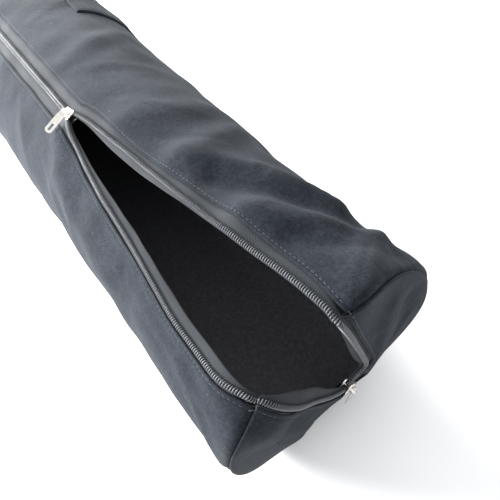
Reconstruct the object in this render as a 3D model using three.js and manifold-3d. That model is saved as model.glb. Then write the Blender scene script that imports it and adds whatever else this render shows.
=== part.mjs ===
// Yoga mat bag: a soft cloth tube, open along a zip that runs down its length and over its near end.
// Millimetres. +X runs along the bag to the end that opens, +Z is up, and the origin is under the
// middle of the bag, on the surface that it lies on.
// A turn is an angle round the tube in degrees, from the top towards -Y.
// A lift is a distance out of the cloth's outer face, along its normal.

import * as THREE from 'three';
import { mergeVertices } from 'three/addons/utils/BufferGeometryUtils.js';
import Module from 'manifold-3d';

const wasm = await Module();
wasm.setup();

// Driving dimensions of the cloth
const LENGTH = 680;
const HALF_WIDTH = 79;
const HALF_HEIGHT = 72;
const SETTLED = 7;
const SETTLED_BLEND = 3;
const CLOTH = 1.6;
const CLEARANCE = 0.3;
const SHOULDER = 6;
const RIM_INSET = 2.2;
const END_DOME = 5;
const FAR_DOME = 5;
const END_SHIFT = 3;
const END_LEAN = 0.075;
const LEAN_REACH = 90;

// Driving dimensions of the zip
const ZIP_TURN = 33.4;
const COIL_WIDTH = 2.6;
const COIL_HEIGHT = 2.2;
const COIL_SINK = 0.3;
const TAPE = 0.6;
const TAPE_SHOWING = 7.2;
const TAPE_SEAM = 0.8;
const SLIDER_ALONG = 105;
const ZIP_END = 15;
const ZIP_STEPS = 75;

// Driving dimensions of the sliders and their pulls
const SLIDER_LENGTH = 10;
const SLIDER_FRONT = 8.4;
const SLIDER_BACK = 6;
const SLIDER_PLATE = 0.9;
const BRIDGE_LENGTH = 7.4;
const BRIDGE_WINDOW = 2.2;
const BRIDGE_BAR = 1;
const PULL_LENGTH = 21.5;
const PULL_WIDTH = 5;
const PULL_THICKNESS = 0.9;
const PULL_HEAD = 4.2;
const PULL_HOLE_LENGTH = 5.8;
const PULL_HOLE_WIDTH = 1.7;
const PULL_EYE = 1.35;
const PULL_TWIST = 62;
const PULL_DROOP = 3;

// Driving dimensions of the pocket
const POCKET_LENGTH = 150;
const POCKET_NEAR_EDGE = -27;
const POCKET_TOP_TURN = -15;
const POCKET_LOW_TURN = -98;
const POCKET_CLOTH = 1.4;
const POCKET_PUFF = 2.6;

// The opening's two coils along the tube: along is a share of half the length, turns are degrees. Cloth
// is the distance from the coil to the cloth's edge, as a share of the same distance on the closed zip.
const MOUTH_ON_TUBE = [
  { along: 0.326, leftTurn: 36.8, leftCloth: 0.6, rightTurn: 30.4, rightCloth: 1 },
  { along: 0.368, leftTurn: 40.4, leftCloth: 0.42, rightTurn: 28.2, rightCloth: 0.9 },
  { along: 0.47, leftTurn: 45.4, leftCloth: 0.4, rightTurn: 25.3, rightCloth: 0.55 },
  { along: 0.588, leftTurn: 49.0, leftCloth: 0.4, rightTurn: 22.4, rightCloth: 0.6 },
  { along: 0.706, leftTurn: 52.6, leftCloth: 0.4, rightTurn: 19.3, rightCloth: 0.9 },
  { along: 0.824, leftTurn: 57.0, leftCloth: 0.4, rightTurn: 15.2, rightCloth: 1 },
  { along: 0.912, leftTurn: 56.8, leftCloth: 0.4, rightTurn: 11.3, rightCloth: 0.9 },
  { along: 0.975, leftTurn: 54.0, leftCloth: 0.4, rightTurn: 9.9, rightCloth: 0.6 },
];

// The same coils down the end panel, as shares of the half width and the half height
const MOUTH_ON_END = [
  { leftAcross: -0.775, leftUp: 0.585, leftCloth: 0.4, rightAcross: -0.16, rightUp: 0.95, rightCloth: 0.6 },
  { leftAcross: -0.64, leftUp: 0.47, leftCloth: 0.4, rightAcross: -0.06, rightUp: 0.72, rightCloth: 0.45 },
  { leftAcross: -0.46, leftUp: 0.27, leftCloth: 0.45, rightAcross: 0.06, rightUp: 0.44, rightCloth: 0.45 },
  { leftAcross: -0.27, leftUp: 0.07, leftCloth: 0.5, rightAcross: 0.18, rightUp: 0.16, rightCloth: 0.5 },
  { leftAcross: -0.11, leftUp: -0.09, leftCloth: 0.6, rightAcross: 0.26, rightUp: -0.08, rightCloth: 0.6 },
];
const SLIDER_END = { across: 0.12, up: -0.24 };

// Where the near end's seam stands out or is drawn back. Turn and spread are degrees, out is a share
// of the half width.
const SEAM_WAVES = [
  { turn: 60, spread: 20, out: 0.063 },
  { turn: 3, spread: 20, out: 0.063 },
  { turn: -85, spread: 25, out: 0.02 },
  { turn: -160, spread: 45, out: -0.11 },
  { turn: 155, spread: 32, out: -0.04 },
];

// Where the cloth is drawn in round the near end's edge. Draw is a share of the half width.
const ROUND_CORNERS = [
  { turn: 54, spread: 16, draw: 0.1 },
  { turn: 10, spread: 12, draw: 0.03 },
];
const CORNER_REACH = 30;

// Folds of the tube's cloth, each a soft ridge (or with a negative rise a valley) between two places.
// Along is a share of half the length, turns are degrees, rise and breadth are shares of the half width.
const TUBE_FOLDS = [
  { fromAlong: 0.6, fromTurn: 8, toAlong: 0.83, toTurn: -36, rise: 0.052, breadth: 0.13 },
  { fromAlong: 0.69, fromTurn: 3, toAlong: 0.88, toTurn: -34, rise: -0.06, breadth: 0.14 },
  { fromAlong: 0.78, fromTurn: 4, toAlong: 0.92, toTurn: -38, rise: 0.05, breadth: 0.13 },
  { fromAlong: 0.86, fromTurn: -2, toAlong: 0.95, toTurn: -38, rise: -0.04, breadth: 0.12 },
  { fromAlong: 0.92, fromTurn: -42, toAlong: 0.98, toTurn: -6, rise: 0.03, breadth: 0.11 },
  { fromAlong: 0.05, fromTurn: -32, toAlong: 0.15, toTurn: 14, rise: 0.03, breadth: 0.16 },
  { fromAlong: 0.47, fromTurn: -30, toAlong: 0.44, toTurn: 14, rise: 0.03, breadth: 0.18 },
  { fromAlong: 0.56, fromTurn: -34, toAlong: 0.6, toTurn: -4, rise: 0.028, breadth: 0.15 },
  { fromAlong: 0.33, fromTurn: 44, toAlong: 0.46, toTurn: 68, rise: 0.022, breadth: 0.13 },
  { fromAlong: 0.38, fromTurn: 62, toAlong: 0.62, toTurn: 76, rise: 0.024, breadth: 0.14 },
  { fromAlong: 0.58, fromTurn: 60, toAlong: 0.93, toTurn: 72, rise: -0.022, breadth: 0.16 },
  { fromAlong: 0.1, fromTurn: -44, toAlong: 0.5, toTurn: -46, rise: -0.036, breadth: 0.34 },
  { fromAlong: 0.6, fromTurn: -54, toAlong: 0.88, toTurn: -62, rise: -0.075, breadth: 0.26 },
  { fromAlong: 0.96, fromTurn: -56, toAlong: 0.97, toTurn: -100, rise: 0.045, breadth: 0.18 },
  { fromAlong: -0.55, fromTurn: -40, toAlong: -0.42, toTurn: 20, rise: 0.03, breadth: 0.18 },
  { fromAlong: -0.8, fromTurn: 60, toAlong: -0.66, toTurn: 5, rise: 0.028, breadth: 0.17 },
  { fromAlong: -0.3, fromTurn: 50, toAlong: -0.12, toTurn: 95, rise: -0.028, breadth: 0.18 },
  { fromAlong: -0.9, fromTurn: -60, toAlong: -0.75, toTurn: -95, rise: 0.028, breadth: 0.17 },
];

// Folds of the near end panel, in shares of the half width and the half height
const END_FOLDS = [
  { fromAcross: 0.42, fromUp: 0.55, toAcross: 0.38, toUp: -0.35, rise: 0.026, breadth: 0.1 },
  { fromAcross: 0.66, fromUp: 0.4, toAcross: 0.62, toUp: -0.3, rise: -0.022, breadth: 0.12 },
  { fromAcross: -0.7, fromUp: 0.2, toAcross: -0.3, toUp: -0.55, rise: 0.026, breadth: 0.13 },
  { fromAcross: -0.45, fromUp: 0.05, toAcross: -0.05, toUp: -0.6, rise: -0.022, breadth: 0.12 },
];

// Worked out from the values above
const HALF_LENGTH = LENGTH / 2;
const AXIS_HEIGHT = HALF_HEIGHT - SETTLED;
const TURN_MM = THREE.MathUtils.degToRad((HALF_WIDTH + HALF_HEIGHT) / 2);
const COIL_OFFSET = (COIL_WIDTH + CLEARANCE) / 2;
const COIL_OFFSET_TURN = COIL_OFFSET / TURN_MM;
const TAPE_TOP = -COIL_SINK - COIL_HEIGHT / 2 - CLEARANCE;
const CLOTH_EDGE = TAPE_SHOWING + COIL_WIDTH / 2;
const RIM_WIDTH = HALF_WIDTH - RIM_INSET;
const RIM_HEIGHT = HALF_HEIGHT - RIM_INSET;
const SIDES = { left: 1, right: -1 };

// Materials
const blackCloth = new THREE.MeshStandardMaterial({ color: 0x16181d, roughness: 0.95, metalness: 0 });
const blackTape = new THREE.MeshStandardMaterial({ color: 0x0e0f12, roughness: 0.85, metalness: 0 });
const blackNylon = new THREE.MeshStandardMaterial({ color: 0x18191c, roughness: 0.45, metalness: 0 });
const nickel = new THREE.MeshStandardMaterial({ color: 0xc9c6bf, roughness: 0.28, metalness: 1 });

// Small helpers

const sine = (turn) => Math.sin(THREE.MathUtils.degToRad(turn));
const cosine = (turn) => Math.cos(THREE.MathUtils.degToRad(turn));
const vec = (x, y, z) => new THREE.Vector3(x, y, z);

function steps(count, from = 0, to = 1) {
  return Array.from({ length: count + 1 }, (_, i) => from + ((to - from) * i) / count);
}

function smooth(t) {
  const s = THREE.MathUtils.clamp(t, 0, 1);
  return s * s * (3 - 2 * s);
}

// The larger of a height and the floor's level, rounded where they cross
function settle(z, level) {
  const d = z - level;
  if (d >= SETTLED_BLEND) return z;
  if (d <= -SETTLED_BLEND) return level;
  return level + (d + SETTLED_BLEND) ** 2 / (4 * SETTLED_BLEND);
}

// A smooth curve through a table's rows: the value of one column at a place in another
function readTable(rows, placeKey, valueKey, place) {
  const last = rows.length - 1;
  if (place <= rows[0][placeKey]) return rows[0][valueKey];
  if (place >= rows[last][placeKey]) return rows[last][valueKey];
  const i = rows.findIndex((row) => row[placeKey] > place) - 1;
  const slope = (a, b) => (rows[b][valueKey] - rows[a][valueKey]) / (rows[b][placeKey] - rows[a][placeKey]);
  const startSlope = slope(Math.max(i - 1, 0), i + 1);
  const endSlope = slope(i, Math.min(i + 2, last));
  const width = rows[i + 1][placeKey] - rows[i][placeKey];
  const t = (place - rows[i][placeKey]) / width;
  const a = rows[i][valueKey];
  const b = rows[i + 1][valueKey];
  return a * (1 + 2 * t) * (1 - t) ** 2 + b * t * t * (3 - 2 * t)
    + width * (startSlope * t * (1 - t) ** 2 - endSlope * t * t * (1 - t));
}

// How far a soft ridge between two places lifts the place (x, y)
function ridge(x, y, x1, y1, x2, y2, rise, breadth) {
  const dx = x2 - x1;
  const dy = y2 - y1;
  const t = THREE.MathUtils.clamp(((x - x1) * dx + (y - y1) * dy) / (dx * dx + dy * dy), 0, 1);
  const d2 = (x - x1 - t * dx) ** 2 + (y - y1 - t * dy) ** 2;
  return rise * Math.exp(-d2 / breadth ** 2);
}

// Closed wall between an outer and an inner grid of points
function wall(outer, inner) {
  const rows = outer.length;
  const columns = outer[0].length;
  const points = [...outer.flat(), ...inner.flat()];
  const at = (face, i, j) => face * rows * columns + i * columns + j;
  const faces = [];
  const quad = (a, b, c, d) => faces.push(a, b, c, a, c, d);
  for (let i = 0; i < rows - 1; i += 1) {
    for (let j = 0; j < columns - 1; j += 1) {
      quad(at(0, i, j), at(0, i, j + 1), at(0, i + 1, j + 1), at(0, i + 1, j));
      quad(at(1, i, j), at(1, i + 1, j), at(1, i + 1, j + 1), at(1, i, j + 1));
    }
    quad(at(0, i, 0), at(0, i + 1, 0), at(1, i + 1, 0), at(1, i, 0));
    quad(at(0, i + 1, columns - 1), at(0, i, columns - 1), at(1, i, columns - 1), at(1, i + 1, columns - 1));
  }
  for (let j = 0; j < columns - 1; j += 1) {
    quad(at(0, 0, j + 1), at(0, 0, j), at(1, 0, j), at(1, 0, j + 1));
    quad(at(0, rows - 1, j), at(0, rows - 1, j + 1), at(1, rows - 1, j + 1), at(1, rows - 1, j));
  }
  return facingOut(points, faces);
}

// Closed rod through rings of points
function rod(rings) {
  const sides = rings[0].length;
  const points = rings.flat();
  const faces = [];
  for (let i = 0; i < rings.length - 1; i += 1) {
    for (let j = 0; j < sides; j += 1) {
      const a = i * sides + j;
      const b = i * sides + ((j + 1) % sides);
      faces.push(a, b, b + sides, a, b + sides, a + sides);
    }
  }
  const last = (rings.length - 1) * sides;
  for (let j = 1; j < sides - 1; j += 1) {
    faces.push(0, j + 1, j, last, last + j, last + j + 1);
  }
  return facingOut(points, faces);
}

// Geometry from points and faces, turned so that its faces point out
function facingOut(points, faces) {
  let volume = 0;
  for (let i = 0; i < faces.length; i += 3) {
    const [a, b, c] = [points[faces[i]], points[faces[i + 1]], points[faces[i + 2]]];
    volume += a.dot(b.clone().cross(c));
  }
  const geometry = new THREE.BufferGeometry();
  geometry.setAttribute('position', new THREE.Float32BufferAttribute(points.flatMap((p) => p.toArray()), 3));
  geometry.setIndex(volume > 0 ? faces : faces.slice().reverse());
  return geometry;
}

function toSolid(geometry) {
  const bare = geometry.clone();
  bare.deleteAttribute('normal');
  bare.deleteAttribute('uv');
  const merged = mergeVertices(bare, 1e-4);
  return new wasm.Manifold(new wasm.Mesh({
    numProp: 3,
    vertProperties: new Float32Array(merged.attributes.position.array),
    triVerts: new Uint32Array(merged.index.array),
  }));
}

function fromSolid(solid) {
  const mesh = solid.getMesh();
  const geometry = new THREE.BufferGeometry();
  geometry.setAttribute('position', new THREE.Float32BufferAttribute(mesh.vertProperties, 3));
  geometry.setIndex(Array.from(mesh.triVerts));
  return geometry;
}

function joined(geometries) {
  return fromSolid(geometries.map(toSolid).reduce((all, next) => all.add(next)));
}

const bag = new THREE.Group();

function place(name, geometry, material, parent = bag) {
  const mesh = new THREE.Mesh(geometry, material);
  mesh.name = name;
  parent.add(mesh);
  return mesh;
}

// The tube's surface

function tubeFolds(x, turn) {
  return TUBE_FOLDS.reduce((sum, fold) => sum + ridge(
    x, turn * TURN_MM,
    fold.fromAlong * HALF_LENGTH, fold.fromTurn * TURN_MM,
    fold.toAlong * HALF_LENGTH, fold.toTurn * TURN_MM,
    fold.rise * HALF_WIDTH, fold.breadth * HALF_WIDTH,
  ), 0);
}

// A turn between -180 and 180 degrees
const wrapped = (turn) => ((((turn + 180) % 360) + 360) % 360) - 180;

// How far the near end's seam stands past the tube's nominal length at a turn
function seamShift(turn) {
  return SEAM_WAVES.reduce(
    (sum, wave) => sum + wave.out * HALF_WIDTH * Math.exp(-((wrapped(turn - wave.turn) / wave.spread) ** 2)),
    END_SHIFT + END_LEAN * HALF_WIDTH * sine(turn),
  );
}

function tubeNormal(turn) {
  return vec(0, -HALF_HEIGHT * sine(turn), HALF_WIDTH * cosine(turn)).normalize();
}

// How far the near end's edge is drawn in, both along the bag and towards its middle
function cornerDraw(turn, fromEdge) {
  const fading = THREE.MathUtils.clamp(1 - fromEdge / CORNER_REACH, 0, 1) ** 2;
  return fading * ROUND_CORNERS.reduce((sum, round) => {
    const off = wrapped(turn - round.turn) / round.spread;
    return sum + round.draw * HALF_WIDTH * Math.exp(-(off ** 2));
  }, 0);
}

// A point of the tube: x is its nominal place along the bag, lift its distance out of the cloth's face
function tubePoint(x, turn, lift) {
  const normal = tubeNormal(turn);
  const draw = cornerDraw(turn, HALF_LENGTH - x);
  const point = vec(x - draw, -HALF_WIDTH * sine(turn), AXIS_HEIGHT + HALF_HEIGHT * cosine(turn));
  point.addScaledVector(normal, lift + tubeFolds(x, wrapped(turn)) - draw);
  point.x += seamShift(turn) * smooth((x - HALF_LENGTH + LEAN_REACH) / LEAN_REACH);
  point.z = settle(point.z, Math.max(-lift, 0));
  return point;
}

// The near end panel's surface

function endFolds(y, z) {
  return END_FOLDS.reduce((sum, fold) => sum + ridge(
    y, z,
    fold.fromAcross * HALF_WIDTH, AXIS_HEIGHT + fold.fromUp * HALF_HEIGHT,
    fold.toAcross * HALF_WIDTH, AXIS_HEIGHT + fold.toUp * HALF_HEIGHT,
    fold.rise * HALF_WIDTH, fold.breadth * HALF_WIDTH,
  ), 0);
}

// Depth 0 is the panel's outer face, and positive depths lie inside the bag
function endPoint(y, z, depth) {
  const across = y / RIM_WIDTH;
  const up = (z - AXIS_HEIGHT) / RIM_HEIGHT;
  const reach2 = Math.min(across * across + up * up, 1);
  const turn = THREE.MathUtils.radToDeg(Math.atan2(-across, up));
  const fading = smooth((1 - reach2) * 4);
  const draw = cornerDraw(turn, (1 - Math.sqrt(reach2)) * RIM_HEIGHT);
  const plane = HALF_LENGTH + reach2 * (seamShift(turn) - END_SHIFT) + END_SHIFT
    - (1 - reach2) * END_LEAN * y;
  const out = plane + CLEARANCE + CLOTH + END_DOME * (1 - reach2) + endFolds(y, z) * fading - depth;
  return vec(out - draw, y, z).addScaledVector(tubeNormal(turn), -draw);
}

function endNormal(y, z) {
  const step = 1;
  const dy = (endPoint(y + step, z, 0).x - endPoint(y - step, z, 0).x) / (2 * step);
  const dz = (endPoint(y, z + step, 0).x - endPoint(y, z - step, 0).x) / (2 * step);
  return vec(1, -dy, -dz).normalize();
}

// The zip's line: each coil's places, and the cloth's edge beside it

// A value at a place along the tube that is even where the zip is closed and follows a column beyond it
function alongZip(x, closed, column) {
  const open = readTable(MOUTH_ON_TUBE, 'along', column, x / HALF_LENGTH);
  const start = SLIDER_ALONG - SLIDER_LENGTH * 0.1;
  const share = (x - start) / (MOUTH_ON_TUBE[0].along * HALF_LENGTH - start);
  return closed + (open - closed) * THREE.MathUtils.clamp(share, 0, 1);
}

const coilTurn = (side, x) => alongZip(x, ZIP_TURN + SIDES[side] * COIL_OFFSET_TURN, `${side}Turn`);
const clothEdge = (side, x) => CLOTH_EDGE * alongZip(x, 1, `${side}Cloth`);

// The turn of a place beside a coil on the tube, whose distance is worked out from the cloth edge's
function turnBeside(side, x, distance) {
  return coilTurn(side, x) + (SIDES[side] * distance(clothEdge(side, x))) / TURN_MM;
}

const sliderEnd = {
  y: SLIDER_END.across * HALF_WIDTH,
  z: AXIS_HEIGHT + SLIDER_END.up * HALF_HEIGHT,
};
const zipDown = vec(0, HALF_WIDTH * sine(ZIP_TURN), -HALF_HEIGHT * cosine(ZIP_TURN)).normalize();
const zipAcross = vec(0, zipDown.z, -zipDown.y);

// The coil's places on the end panel in order, from the seam to the zip's end, and the cloth's edge there
function coilOnEnd(side) {
  const open = MOUTH_ON_END.map((row) => ({
    y: row[`${side}Across`] * HALF_WIDTH,
    z: AXIS_HEIGHT + row[`${side}Up`] * HALF_HEIGHT,
    edge: row[`${side}Cloth`] * CLOTH_EDGE,
  }));
  const half = SLIDER_LENGTH / 2;
  const meeting = [
    { down: -half, spread: 2.8, cloth: 0.8 },
    { down: -half / 3, spread: 1.25, cloth: 1 },
    { down: half / 2, spread: 1, cloth: 1 },
    { down: (half + ZIP_END) / 2, spread: 1, cloth: 1 },
    { down: ZIP_END, spread: 1, cloth: 1 },
  ];
  const closed = meeting.map(({ down, spread, cloth }) => {
    const out = SIDES[side] * spread * COIL_OFFSET;
    return {
      y: sliderEnd.y + zipDown.y * down + zipAcross.y * out,
      z: sliderEnd.z + zipDown.z * down + zipAcross.z * out,
      edge: cloth * CLOTH_EDGE,
    };
  });
  return [...open, ...closed];
}

// A place of the end panel, moved a distance round the tube's middle
function movedRound({ y, z }, distance) {
  const across = y / HALF_WIDTH;
  const up = (z - AXIS_HEIGHT) / HALF_HEIGHT;
  const turn = distance / TURN_MM;
  return [
    HALF_WIDTH * (across * cosine(turn) - up * sine(turn)),
    AXIS_HEIGHT + HALF_HEIGHT * (up * cosine(turn) + across * sine(turn)),
  ];
}

// The places beside a coil on the end panel, away from the opening by a distance worked out as above
function besideOnEnd(side, distance) {
  const path = coilOnEnd(side);
  return path.map((place, i) => {
    const out = SIDES[side] * distance(place.edge);
    if (i === 0) return movedRound(place, out);
    const before = path[i - 1];
    const after = path[Math.min(i + 1, path.length - 1)];
    const length = Math.hypot(after.y - before.y, after.z - before.z);
    return [
      place.y + (out * (after.z - before.z)) / length,
      place.z - (out * (after.y - before.y)) / length,
    ];
  });
}

const TUBE_ROWS = [
  ...steps(12, -HALF_LENGTH, SLIDER_ALONG - 3 * SLIDER_LENGTH),
  ...steps(5, SLIDER_ALONG - 2 * SLIDER_LENGTH, SLIDER_ALONG + 3 * SLIDER_LENGTH),
  ...steps(20, SLIDER_ALONG + 4 * SLIDER_LENGTH, HALF_LENGTH - SHOULDER),
];

// A line along the zip, a distance out from a coil's middle and a lift off the cloth, with its normals
function zipLine(side, distance, lift) {
  const tube = TUBE_ROWS.map((x) => {
    const turn = turnBeside(side, x, distance);
    return { point: tubePoint(x, turn, lift), normal: tubeNormal(turn) };
  });
  const cornerTurn = turnBeside(side, HALF_LENGTH, distance);
  const shoulder = {
    point: tubePoint(HALF_LENGTH - SHOULDER / 4, cornerTurn, lift - RIM_INSET / 2),
    normal: tubeNormal(cornerTurn).add(vec(1, 0, 0)).normalize(),
  };
  const end = besideOnEnd(side, distance).map(([y, z]) => ({
    point: endPoint(y, z, -lift),
    normal: endNormal(y, z),
  }));
  return [...tube, shoulder, ...end];
}

// The same line in even steps, with the direction along it and the direction out to the cloth's edge
function evenLine(side, distance, lift, count) {
  const line = zipLine(side, distance, lift);
  const points = new THREE.CatmullRomCurve3(line.map((item) => item.point), false, 'centripetal');
  const normals = new THREE.CatmullRomCurve3(line.map((item) => item.normal), false, 'catmullrom');
  return steps(count).map((t) => {
    const along = points.getTangent(t);
    const out = along.clone().cross(normals.getPoint(t)).normalize().multiplyScalar(SIDES[side]);
    const normal = out.clone().cross(along).multiplyScalar(SIDES[side]);
    return { point: points.getPoint(t), along, out, normal };
  });
}

// The cloth

function mainPanel() {
  const rows = [
    ...TUBE_ROWS.map((x) => ({ x, lift: 0, inset: 0 })),
    { x: HALF_LENGTH - SHOULDER / 3, lift: -RIM_INSET / 4, inset: 2 * CLEARANCE },
    { x: HALF_LENGTH, lift: -RIM_INSET, inset: 4 * CLEARANCE },
  ];
  const columns = 34;
  const face = (depth) => rows.map(({ x, lift, inset }) => {
    const from = turnBeside('left', x, (edge) => edge + inset);
    const to = 360 + turnBeside('right', x, (edge) => edge + inset);
    return steps(columns, from, to).map((turn) => tubePoint(x, turn, lift - depth));
  });
  return wall(face(0), face(CLOTH));
}

function nearEndPanel() {
  const left = besideOnEnd('left', (edge) => edge);
  const right = besideOnEnd('right', (edge) => edge);
  const slit = new THREE.SplineCurve([...left, ...right.reverse()].map(([y, z]) => new THREE.Vector2(y, z)));
  const columns = 40;
  const from = turnBeside('left', HALF_LENGTH, (edge) => edge);
  const to = 360 + turnBeside('right', HALF_LENGTH, (edge) => edge);
  const rings = 6;
  const face = (depth) => steps(rings).map((t) => steps(columns).map((s) => {
    const inner = slit.getPointAt(s);
    const turn = from + (to - from) * s;
    const y = THREE.MathUtils.lerp(inner.x, -RIM_WIDTH * sine(turn), t);
    const z = THREE.MathUtils.lerp(inner.y, AXIS_HEIGHT + RIM_HEIGHT * cosine(turn), t);
    const point = endPoint(y, z, depth);
    point.z = settle(point.z, RIM_INSET);
    return point;
  }));
  return wall(face(0), face(CLOTH));
}

function farEndPanel() {
  const rim = steps(36, 0, 360).slice(0, -1);
  const reaches = [1, 0.8, 0.55, 0.28];
  const face = (depth) => reaches.map((reach) => rim.map((turn) => vec(
    -HALF_LENGTH - CLEARANCE - depth - FAR_DOME * (1 - reach * reach),
    -RIM_WIDTH * reach * sine(turn),
    settle(AXIS_HEIGHT + RIM_HEIGHT * reach * cosine(turn), RIM_INSET),
  )));
  return rod([...face(0).reverse(), ...face(CLOTH)]);
}

function pocket() {
  const columns = 10;
  const rows = 8;
  const face = (depth) => steps(rows).map((s) => steps(columns).map((t) => {
    const x = POCKET_NEAR_EDGE - POCKET_LENGTH * s;
    const turn = POCKET_TOP_TURN + (POCKET_LOW_TURN - POCKET_TOP_TURN) * t;
    const puff = POCKET_PUFF * Math.sin(Math.PI * s) * (1 - t * t);
    return tubePoint(x, turn, CLEARANCE + POCKET_CLOTH - depth + puff);
  }));
  return wall(face(0), face(POCKET_CLOTH));
}

place('main_panel', mainPanel(), blackCloth);
place('near_end_panel', nearEndPanel(), blackCloth);
place('far_end_panel', farEndPanel(), blackCloth);
place('pocket', pocket(), blackCloth);

// The zip's tapes and coils

function zipTape(side) {
  const coil = evenLine(side, () => 0, -COIL_SINK, ZIP_STEPS);
  const seam = evenLine(side, (edge) => edge - TAPE_SEAM, TAPE_TOP, ZIP_STEPS);
  const beside = (item, distance, lift) => item.point.clone()
    .addScaledVector(item.out, distance)
    .addScaledVector(item.normal, lift + COIL_SINK);
  const face = (depth) => coil.map((item, i) => [
    beside(item, -COIL_WIDTH / 2 + TAPE_SEAM, TAPE_TOP - depth),
    beside(item, COIL_WIDTH / 4, TAPE_TOP - depth),
    seam[i].point.clone().addScaledVector(seam[i].normal, -depth),
  ]);
  return wall(face(0), face(TAPE));
}

function zipCoil(side) {
  const sides = 6;
  return rod(evenLine(side, () => 0, -COIL_SINK, ZIP_STEPS).map(({ point, out, normal }) => (
    steps(sides, 0, 360).slice(0, -1).map((angle) => point.clone()
      .addScaledVector(out, (COIL_WIDTH / 2) * cosine(angle))
      .addScaledVector(normal, (COIL_HEIGHT / 2) * sine(angle))))));
}

for (const side of Object.keys(SIDES)) {
  place(`zip_tape_${side}`, zipTape(side), blackTape);
  place(`zip_coil_${side}`, zipCoil(side), blackNylon);
}

// The sliders: local X points to the open stretch, local Z out of the bag, the coils' middle at Z 0

const PLATE_LOW = COIL_HEIGHT / 2 + CLEARANCE;
const PLATE_TOP = PLATE_LOW + SLIDER_PLATE;
const BAR_LOW = PLATE_TOP + BRIDGE_WINDOW;
const BAR_HEIGHT = BAR_LOW + BRIDGE_BAR / 2;
const BACK_PLATE_TOP = TAPE_TOP + COIL_SINK - TAPE - CLEARANCE;

function outline(points) {
  return new THREE.Shape(points.map(([x, y]) => new THREE.Vector2(x, y)));
}

function plate(shape, thickness, curveSegments = 6) {
  return new THREE.ExtrudeGeometry(shape, { depth: thickness, bevelEnabled: false, curveSegments });
}

function sliderPlate(low) {
  const half = SLIDER_LENGTH / 2;
  const front = SLIDER_FRONT / 2;
  const back = SLIDER_BACK / 2;
  const shape = outline([
    [-half, -back * 0.7], [-half * 0.86, -back], [0, -back * 1.08], [half * 0.5, -front],
    [half * 0.85, -front * 0.95], [half, -front * 0.6], [half, front * 0.6],
    [half * 0.85, front * 0.95], [half * 0.5, front], [0, back * 1.08], [-half * 0.86, back],
    [-half, back * 0.7],
  ]);
  return plate(shape, SLIDER_PLATE).translate(0, 0, low);
}

function sliderBody() {
  const half = SLIDER_LENGTH / 2;
  const post = plate(outline([[half * 0.62, 0], [half * 0.86, -0.7], [half * 0.98, 0], [half * 0.86, 0.7]]),
    PLATE_LOW - BACK_PLATE_TOP + SLIDER_PLATE).translate(0, 0, BACK_PLATE_TOP - SLIDER_PLATE / 2);
  const reach = BRIDGE_LENGTH / 2;
  const leg = reach - BRIDGE_BAR;
  const foot = PLATE_TOP - SLIDER_PLATE / 2;
  const top = BAR_LOW + BRIDGE_BAR;
  const arch = outline([
    [-reach, foot], [-leg, foot], [-leg, BAR_LOW], [leg, BAR_LOW], [leg, foot], [reach, foot],
    [reach, top - BRIDGE_BAR], [reach - BRIDGE_BAR * 0.7, top], [-reach + BRIDGE_BAR * 0.7, top],
    [-reach, top - BRIDGE_BAR],
  ]);
  const bridge = plate(arch, BRIDGE_BAR).translate(0, 0, -BRIDGE_BAR / 2).rotateX(Math.PI / 2);
  return joined([sliderPlate(PLATE_LOW), sliderPlate(BACK_PLATE_TOP - SLIDER_PLATE), post, bridge]);
}

// The pull: local X runs from the eye's middle to the free end, local Z is its thickness. It is a straight
// strip with a round free end, a little narrower at its eye.
function pullTab() {
  const half = PULL_WIDTH / 2;
  const head = PULL_HEAD / 2;
  const end = PULL_LENGTH - head;
  const shape = new THREE.Shape();
  shape.absarc(0, 0, head, Math.PI / 2, Math.PI * 1.5, false);
  shape.quadraticCurveTo(half, -head, half * 2, -half);
  shape.lineTo(end - half, -half);
  shape.absarc(end - half, 0, half, -Math.PI / 2, Math.PI / 2, false);
  shape.lineTo(half * 2, half);
  shape.quadraticCurveTo(half, head, 0, head);
  const eye = new THREE.Path();
  eye.absarc(0, 0, PULL_EYE, 0, Math.PI * 2, true);
  const slot = new THREE.Path();
  const slotEnd = end - half * 0.7 - PULL_HOLE_WIDTH / 2;
  const slotStart = slotEnd - PULL_HOLE_LENGTH + PULL_HOLE_WIDTH;
  slot.absarc(slotEnd, 0, PULL_HOLE_WIDTH / 2, -Math.PI / 2, Math.PI / 2, false);
  slot.absarc(slotStart, 0, PULL_HOLE_WIDTH / 2, Math.PI / 2, Math.PI * 1.5, false);
  shape.holes.push(eye, slot);
  return plate(shape, PULL_THICKNESS).translate(0, 0, -PULL_THICKNESS / 2);
}

// A frame for pieces at a place: X, Y and Z are the directions of its own axes
function framed(origin, x, z) {
  const group = new THREE.Group();
  const y = z.clone().cross(x).normalize();
  group.position.copy(origin);
  group.quaternion.setFromRotationMatrix(new THREE.Matrix4().makeBasis(x, y, x.clone().cross(y)));
  bag.add(group);
  return group;
}

const topFrame = framed(
  tubePoint(SLIDER_ALONG, ZIP_TURN, -COIL_SINK),
  vec(1, 0, 0),
  tubeNormal(ZIP_TURN),
);
place('slider_top', sliderBody(), nickel, topFrame);
const topPull = place('pull_top', pullTab(), nickel, topFrame);
// It lies down the slope on the left of the zip, turned on its long axis to face the open end
const droop = THREE.MathUtils.degToRad(PULL_DROOP);
const lyingAlong = vec(0, -Math.cos(droop), -Math.sin(droop));
const lyingFace = lyingAlong.clone().cross(vec(1, 0, 0))
  .multiplyScalar(cosine(PULL_TWIST)).addScaledVector(vec(1, 0, 0), sine(PULL_TWIST));
topPull.position.set(0, 0, BAR_HEIGHT);
topPull.quaternion.setFromRotationMatrix(new THREE.Matrix4().makeBasis(
  lyingAlong, lyingFace.clone().cross(lyingAlong), lyingFace,
));

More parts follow.
